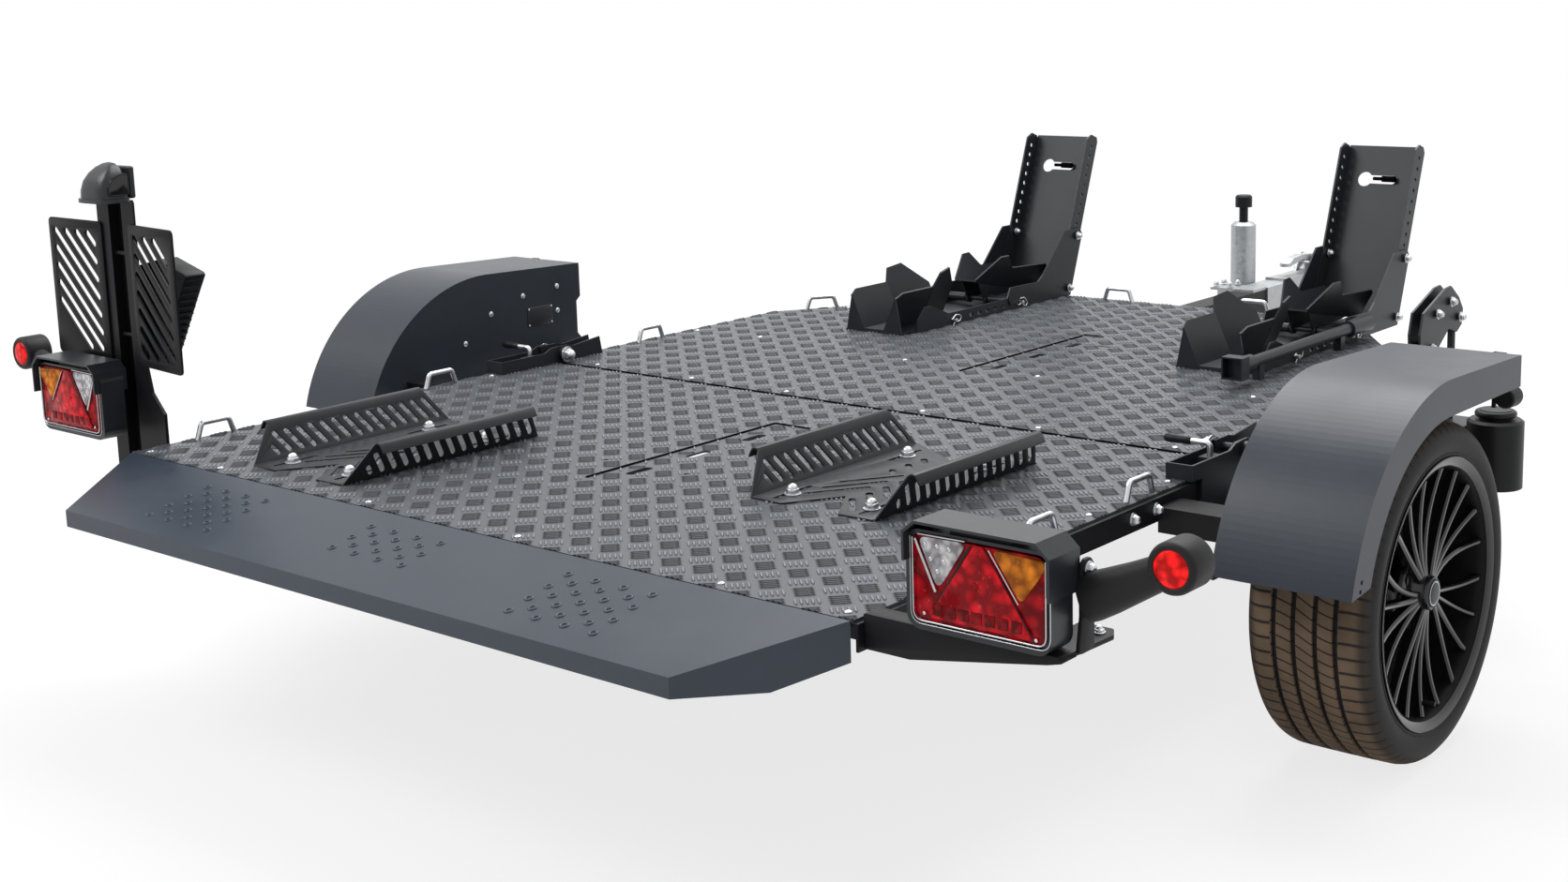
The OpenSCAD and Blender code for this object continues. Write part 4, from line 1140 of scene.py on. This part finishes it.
def tail_lens(side):
    base = lens_shape([(0, 0), (1, 0), (1, 1), (0, 1)], 14, 7.4, 9.4)
    centre = lens_shape(CENTRE, 5, 3.4, 2.4)
    white = lens_shape(WHITE, 8, 4.4, 3.2)
    amber = lens_shape(AMBER, 6, 4.4, 3.2)
    cells = []
    for i in range(7):
        u, v = 0.16 + 0.098 * i, 0.105
        corners = [(u, v), (u + 0.075, v), (u + 0.075, v + 0.13), (u, v + 0.13)]
        cells.append(lens_shape(corners, 1, 2, 0.4, 0.4))
    strips = [lens_bar((0.03, 0.93), (0.185, 0.37), 3.6, 1.8),
              lens_bar((0.05, 0.985), (0.41, 0.995), 1.6, 1.6),
              lens_bar((0.585, 0.95), (0.80, 0.42), 1.8, 1.8)]
    seams = [lens_bar((0.445, 0.95), (0.13, 0.06), 3.2, 0.5),
             lens_bar((0.555, 0.93), (0.915, 0.03), 2.0, 0.5)]
    lamps = [lens_dot(3.4, 1.8, 14, u, v, 1.2) for u, v in
             ((0.11, 0.88), (0.2, 0.88), (0.29, 0.87), (0.15, 0.73), (0.25, 0.72), (0.2, 0.6))]
    bullet = lens_dot(4.5, 2.5, 18, 0.48, 0.52, 1.0)
    lit_rim_bars = [frame_line(1.5, 13.5, 1.1, 0.4), frame_line(-3.4, 17, 0.8, -1.4)]
    screws = [lens_dot(2.4, 1.2, 12, u, v, 0.2) for u, v in ((0.09, 0.1), (0.92, 0.07))]
    parts = [([base], "lens_back", red_field, "red_lens", "tail_lens"),
             ([centre], "lens_centre", red_lens, "red_lens"),
             ([white], "lens_white", clear_lens, "red_lens"),
             ([amber], "lens_amber", amber_lens, "red_lens"),
             (cells, "lens_cells", red_cell, "red_lens"),
             (strips, "lens_strips", lamp_rim, "zinc_steel"),
             (seams, "lens_seams", black_plastic, "black_plastic"),
             (lamps, "lens_lights", lamp_rim, "zinc_steel"),
             ([bullet], "lens_bullet", red_lens, "red_lens"),
             (lit_rim_bars, "lens_rim", lamp_rim, "zinc_steel"),
             (screws, "lens_screws", bright_zinc, "zinc_steel")]
    place_parts(side, parts)


for side in SIDES:
    tail_lens(side)


# Lamp arms: a folded bracket, a tapered rubber arm and a round marker

MARKER = (1241, 551)        # across and up
MARKER_FACE = -942
STRIP_X = 1113.3            # inner face of the strip beside the lamp


def lamp_arm(side):
    """The strip beside the lamp, the arm and its marker, and the right lamp's folded bracket.

    The left lamp stands on the number-plate mast, so it has no bracket.
    """
    holders = []
    if side == "right":
        under = eased([(824, 383), (824, 429.6), (1109, 429.6), (1118, 423), (1095, 417),
                       (895, 383)], 3)
        holders.append(cut_sheet([at(p.x, -970, p.y) for p in under], (0, 32 * MM, 0), 1))
        tongue = eased([(1060, -968), (1110, -968), (1116, -930), (1120, -862), (1108, -842),
                        (1060, -842)], 6)
        holders.append(cut_sheet([at(p.x, p.y, 423) for p in tongue], (0, 0, 6.4 * MM), 1))
    strip = eased([(-938, 424), (-930, 470), (-931, 530), (-923, 538), (-911, 538), (-904, 530),
                   (-903, 424)], 7)
    holders.append(cut_sheet([at(STRIP_X, p.x, p.y) for p in strip], (5.4 * MM, 0, 0), 1))
    rings = []
    for x, z, half, deep in ((1118, 490, 27, 21), (1126, 493, 27, 21.5), (1150, 504, 25, 21),
                             (1184, 521, 21.5, 20), (1222, 541, 18.5, 19)):
        ring = []
        for k in range(24):
            turn = k / 24 * 2 * math.pi
            c, s = math.cos(turn), math.sin(turn)
            ring.append(at(x - s * half * 0.45, -918 + deep * math.copysign(abs(c) ** 0.8, c),
                           z + half * math.copysign(abs(s) ** 0.8, s)))
        rings.append(ring)
    tube = lofted(rings, 40)
    x, z = MARKER
    depth = 50
    housing = revolved([(0, 22.3), (-1.2, 24), (-1.6, 26), (-0.6, 28.6), (2, 30.6), (5, 31.4),
                        (depth - 6, 31.4), (depth - 2, 29.5), (depth, 25), (depth, 0.2), (3, 0.2),
                        (3, 22.3)], at(x, MARKER_FACE, z), "Y", 64)
    glass = revolved([(3.1, 0.2), (3.1, 22.2), (0.6, 22.2), (-1.6, 20), (-3.2, 14), (-3.9, 7),
                      (-4, 0.2)], at(x, MARKER_FACE, z), "Y", 48)
    nuts = [moved(acorn_nut(12), at(STRIP_X + 5.4, -917, 526), (0, math.pi / 2, 0))]
    if side == "right":
        nuts.append(moved(acorn_nut(11), at(1102, -866, 429.5)))
    parts = [(holders, "lamp_bracket", chassis_coat, "satin_steel", "lamp_arm"),
             ([tube, housing], "marker_arm", black_rubber, "black_rubber", "lamp_arm"),
             ([glass], "marker_lens", marker_red, "red_lens"),
             (nuts, "lamp_arm_nuts", bright_zinc, "zinc_steel")]
    place_parts(side, parts)


for side in SIDES:
    lamp_arm(side)


# Number-plate wings with slanting slots, and the plastic wheel wedge behind them


def slotted_panel(wide, high, skip):
    """One wing: a rounded sheet with slanting slots between its margins."""
    side, top, low, lean, slot_w = 22, 24, 20, 0.9, 13
    holes = []
    for i in range(-5, 12):
        start_y = high - top - 33 * i
        x0, x1 = side, wide - 28
        y0, y1 = start_y, start_y - (x1 - x0) * lean
        if y0 > high - top:
            x0 += (y0 - high + top) / lean
            y0 = high - top
        if y1 < low:
            x1 -= (low - y1) / lean
            y1 = low
        if x1 - x0 > 16 and not (skip and i > 4):
            holes.append(long_hole((x0, y0), (x1, y1), slot_w))
    outline = eased([(0, 0), (wide, 0), (wide, high), (0, high)], 11, 6)
    return pierced_sheet(outline, holes, 4)


def stand_up(panel, spot, turn):
    """Stands a flat panel up to face the rear, turned about its inner edge."""
    return moved(panel, spot, (math.pi / 2, 0, turn))


WING_LOW = 559
left_panel = stand_up(slotted_panel(180, 257, True), at(-1154, -905, WING_LOW), 0)
right_panel = stand_up(slotted_panel(165, 257, False), at(-885, -905, WING_LOW), math.radians(-6))
place([left_panel, right_panel], "slotted_panels", mast_coat, "satin_steel",
      instead=("plate_wings",))


def wheel_wedge():
    """A plastic wheel chock with a hollow, ribbed face and a sloping top."""
    curve = [(-872, 552), (-855, 575), (-836, 604), (-815, 637), (-792, 673), (-773, 702),
             (-757, 726)]
    outline = [(-1000, 552)] + curve + [(-762, 731), (-842, 752), (-1000, 716)]
    body = cut_sheet([at(x, -881, z) for x, z in outline], (0, 42 * MM, 0), 2.2)
    ribs = []
    for i in range(14):
        t = i / 13
        x, z = -866 + 102 * t, 556 + 162 * t - 3 * math.sin(math.pi * t)
        rib = bevelled(block(at(x - 3, -878, z - 2), at(x + 2.5, -842, z + 2)), 0.8 * MM)
        ribs.append(rib)
    place([body] + ribs, "ribbed_wedge", black_plastic, "black_plastic",
          instead=("wheel_wedge",))


wheel_wedge()


# Chocks: spring clips through the side plates, and a hook pin in each upright's keyhole


def spring_clip(spot, turn):
    """A bent wire clip that hangs on its pin."""
    points = [Vector((0, y, z)) * MM for y, z in ((-12, 8), (-3, 10), (6, 12), (18, 6), (24, 0),
                                                  (18, -7), (4, -6), (-4, -2), (-12, -8),
                                                  (-20, -6))]
    wire = bent_rod(points, 1.5 * MM, 3 * MM, sides=8)
    return moved(smooth(wire, 60), spot, (turn, 0, 0))


clips = []
pins = []
for chock in CHOCKS:
    for y, z, turn in ((140, 10, 0.3), (415, 14, -0.2)):
        clips.append(spring_clip(at(chock + 100, CHOCK_Y + y, DECK_MM + z), turn))
        pin = cylinder(4.5 * MM, 12 * MM, at(chock + 99, CHOCK_Y + y, DECK_MM + z), "X", 20)
        pins.append(bevelled(pin, 0.8 * MM))
place(clips, "chock_clips", bright_zinc, "zinc_steel")
place(pins, "chock_pins", bright_zinc, "zinc_steel")


def hook_pin(chock):
    """A black pin lying in the keyhole's slot, thinner at its inner end."""
    return revolved([(-14, 0.2), (-14, 4), (6, 4), (7, 7), (36, 7), (38, 5.4), (38, 0.2)],
                    at(chock, 1441, 733), steps=28)


place([hook_pin(chock) for chock in CHOCKS], "hook_pins", deep_shade, "black_plastic")


# The lamp over the number plate: a domed cover with a side window


def plate_light():
    low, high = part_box("plate_lamp")
    centre = Vector(((low.x + high.x) / 2, low.y + 50 * MM, low.z))
    rings = []
    for z, half, rear, front in ((0, 47, -51, 14), (7, 47, -51, 14), (8, 42.5, -48, 12),
                                 (22, 42, -47, 12), (38, 39, -42, 11), (52, 33, -32, 9),
                                 (62, 25, -20, 6), (68, 15, -9, 2), (70, 3, -4, -2)):
        ring = []
        for k in range(40):
            c, s = math.cos(k / 20 * math.pi), math.sin(k / 20 * math.pi)
            c, s = math.copysign(abs(c) ** 0.5, c), math.copysign(abs(s) ** 0.5, s)
            ring.append(centre + Vector((half * c, (front + rear) / 2 + (front - rear) / 2 * s,
                                         z)) * MM)
        rings.append(ring)
    dome = lofted(rings, 35)
    clip = [bevelled(block(centre + Vector((-14, 14, 4)) * MM, centre + Vector((34, 26, 62)) * MM),
                     4 * MM, 3)]
    window = eased([(-34, 13), (6, 13), (6, 50), (-10, 50), (-26, 41), (-34, 28)], 6)
    glass = cut_sheet([centre + Vector((30, p.x, p.y)) * MM for p in window], (14 * MM, 0, 0), 1.6)
    edge = bent_rod([centre + Vector((43.4, p.x, p.y)) * MM for p in window], 1.3 * MM, closed=True,
                    sides=10)
    place([dome] + clip, "plate_light", lamp_plastic, "black_plastic", instead=("plate_lamp",))
    place([glass], "plate_light_window", gloss_coat, "black_plastic")
    place([smooth(edge, 60)], "plate_light_edge", black_rubber, "black_plastic")


plate_light()


# Marker at each wing's front corner, on a hanging strap


def front_marker(side):
    """A flat hanging strap with its foot and the round marker, drawn for the right wing."""
    low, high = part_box("right_front_marker")
    strap = block(Vector((low.x, high.y - 42 * MM, high.z - 92 * MM)),
                  Vector((low.x + 6 * MM, high.y - 36 * MM, high.z)))
    foot = block(Vector((low.x, high.y - 96 * MM, high.z - 6 * MM)),
                 Vector((low.x + 20 * MM, high.y - 36 * MM, high.z)))
    knob = revolved([(-40, 0.2), (-40, 14), (-38, 16.5), (-8, 18), (-3, 17), (0, 13), (0, 0.2)],
                    Vector((low.x + 20 * MM, high.y, high.z - 76 * MM)), "Y", 40)
    place_parts(side, [([strap, foot, knob], "marker_on_strap", black_rubber, "black_rubber",
                        "front_marker")])


for side in SIDES:
    front_marker(side)


# Blank data plate on the left wing, and the jack's clamp bolts

plate_x = -wing_face
data_plate = cut_sheet([at(plate_x, p.x, p.y) for p in eased([(107, 467), (182, 467), (182, 511),
                                                              (107, 511)], 4)], (1.2 * MM, 0, 0),
                       0.3)
place([data_plate], "data_plate", plate_coat, "satin_steel")
spread(coach_bolt(2.2), [(at(plate_x + 1.2, y, z), OUT) for y in (111, 178) for z in (471, 507)],
       "plate_rivets", bright_zinc)

jack_spots = [(at(x, y, 427), UP) for x in (-80, -42) for y in (1625, 1665)]
spread(acorn_nut(12), jack_spots, "jack_nuts", bright_zinc)


# Camera, light and floor

FOCAL_MM = 45.64        # for a 36 mm wide frame
CAMERA_AT = (2.310, -2.838 + AXLE_Y, 1.209)
YAW, PITCH, ROLL = 40.41, 9.96, -1.66

drop_selection()
bpy.ops.object.camera_add(location=CAMERA_AT)
camera = bpy.context.object
turn = (Matrix.Rotation(math.radians(YAW), 3, "Z")
        @ Matrix.Rotation(math.radians(90 - PITCH), 3, "X")
        @ Matrix.Rotation(math.radians(ROLL), 3, "Z"))
camera.rotation_euler = turn.to_euler()
camera.data.lens = FOCAL_MM
camera.data.sensor_width = 36
camera.data.shift_x = -0.0048
camera.data.shift_y = -0.0701
camera.data.clip_end = 100
bpy.context.scene.camera = camera
bpy.context.scene.view_settings.view_transform = "Standard"


def area_light(name, place_at, aim, size, power):
    drop_selection()
    bpy.ops.object.light_add(type="AREA", location=place_at)
    lamp = bpy.context.object
    lamp.name = name
    lamp.data.shape = "SQUARE"
    lamp.data.size = size
    lamp.data.energy = power
    lamp.rotation_euler = (Vector(aim) - Vector(place_at)).to_track_quat("-Z", "Y").to_euler()


area_light("key_light", (-3.5, -4.0, 5.0), (0, 0, 0.3), 3.0, 200)
area_light("top_light", (-0.6, 2.4, 5.5), (0, 0.3, 0.3), 5.0, 370)
area_light("fill_light", (4.5, -1.0, 3.5), (0, 0, 0.3), 3.0, 10)

world = bpy.data.worlds.new("studio")
bpy.context.scene.world = world
world.use_nodes = True
sky = Graph(world.node_tree)
back = sky.tree.nodes["Background"]
back.inputs["Color"].default_value = (1, 1, 1, 1)
sky.tree.links.new((sky.seen() * 0.55 + 0.45).socket, back.inputs["Strength"])


def studio_floor():
    """A pale floor that the camera sees nearly white, with a soft shadow left on it."""
    drop_selection()
    bpy.ops.mesh.primitive_plane_add(size=60, location=(0, 0, -0.0005))
    floor = bpy.context.object
    floor.name = "floor"
    finish = Finish("floor_paint")
    clouds = finish.noise(0.4, 2)
    finish.feed(Base_Color=finish.mix(clouds, (0.9, 0.9, 0.9), (0.93, 0.93, 0.93)),
                Roughness=clouds * 0.05 + 0.9)
    white = finish.tree.nodes.new("ShaderNodeEmission")
    blend = finish.tree.nodes.new("ShaderNodeMixShader")
    x, y, _ = finish.axes()
    far = (x * x + y * y).root().rise(2.2, 5.5)
    share = finish.seen() * (far * 0.22 + 0.78)
    output = finish.tree.nodes["Material Output"]
    for i, start in enumerate((share.socket, finish.shader.outputs[0], white.outputs[0])):
        finish.tree.links.new(start, blend.inputs[i])
    finish.tree.links.new(blend.outputs[0], output.inputs["Surface"])
    floor.data.materials.append(finish.material)


studio_floor()

bpy.context.view_layer.update()
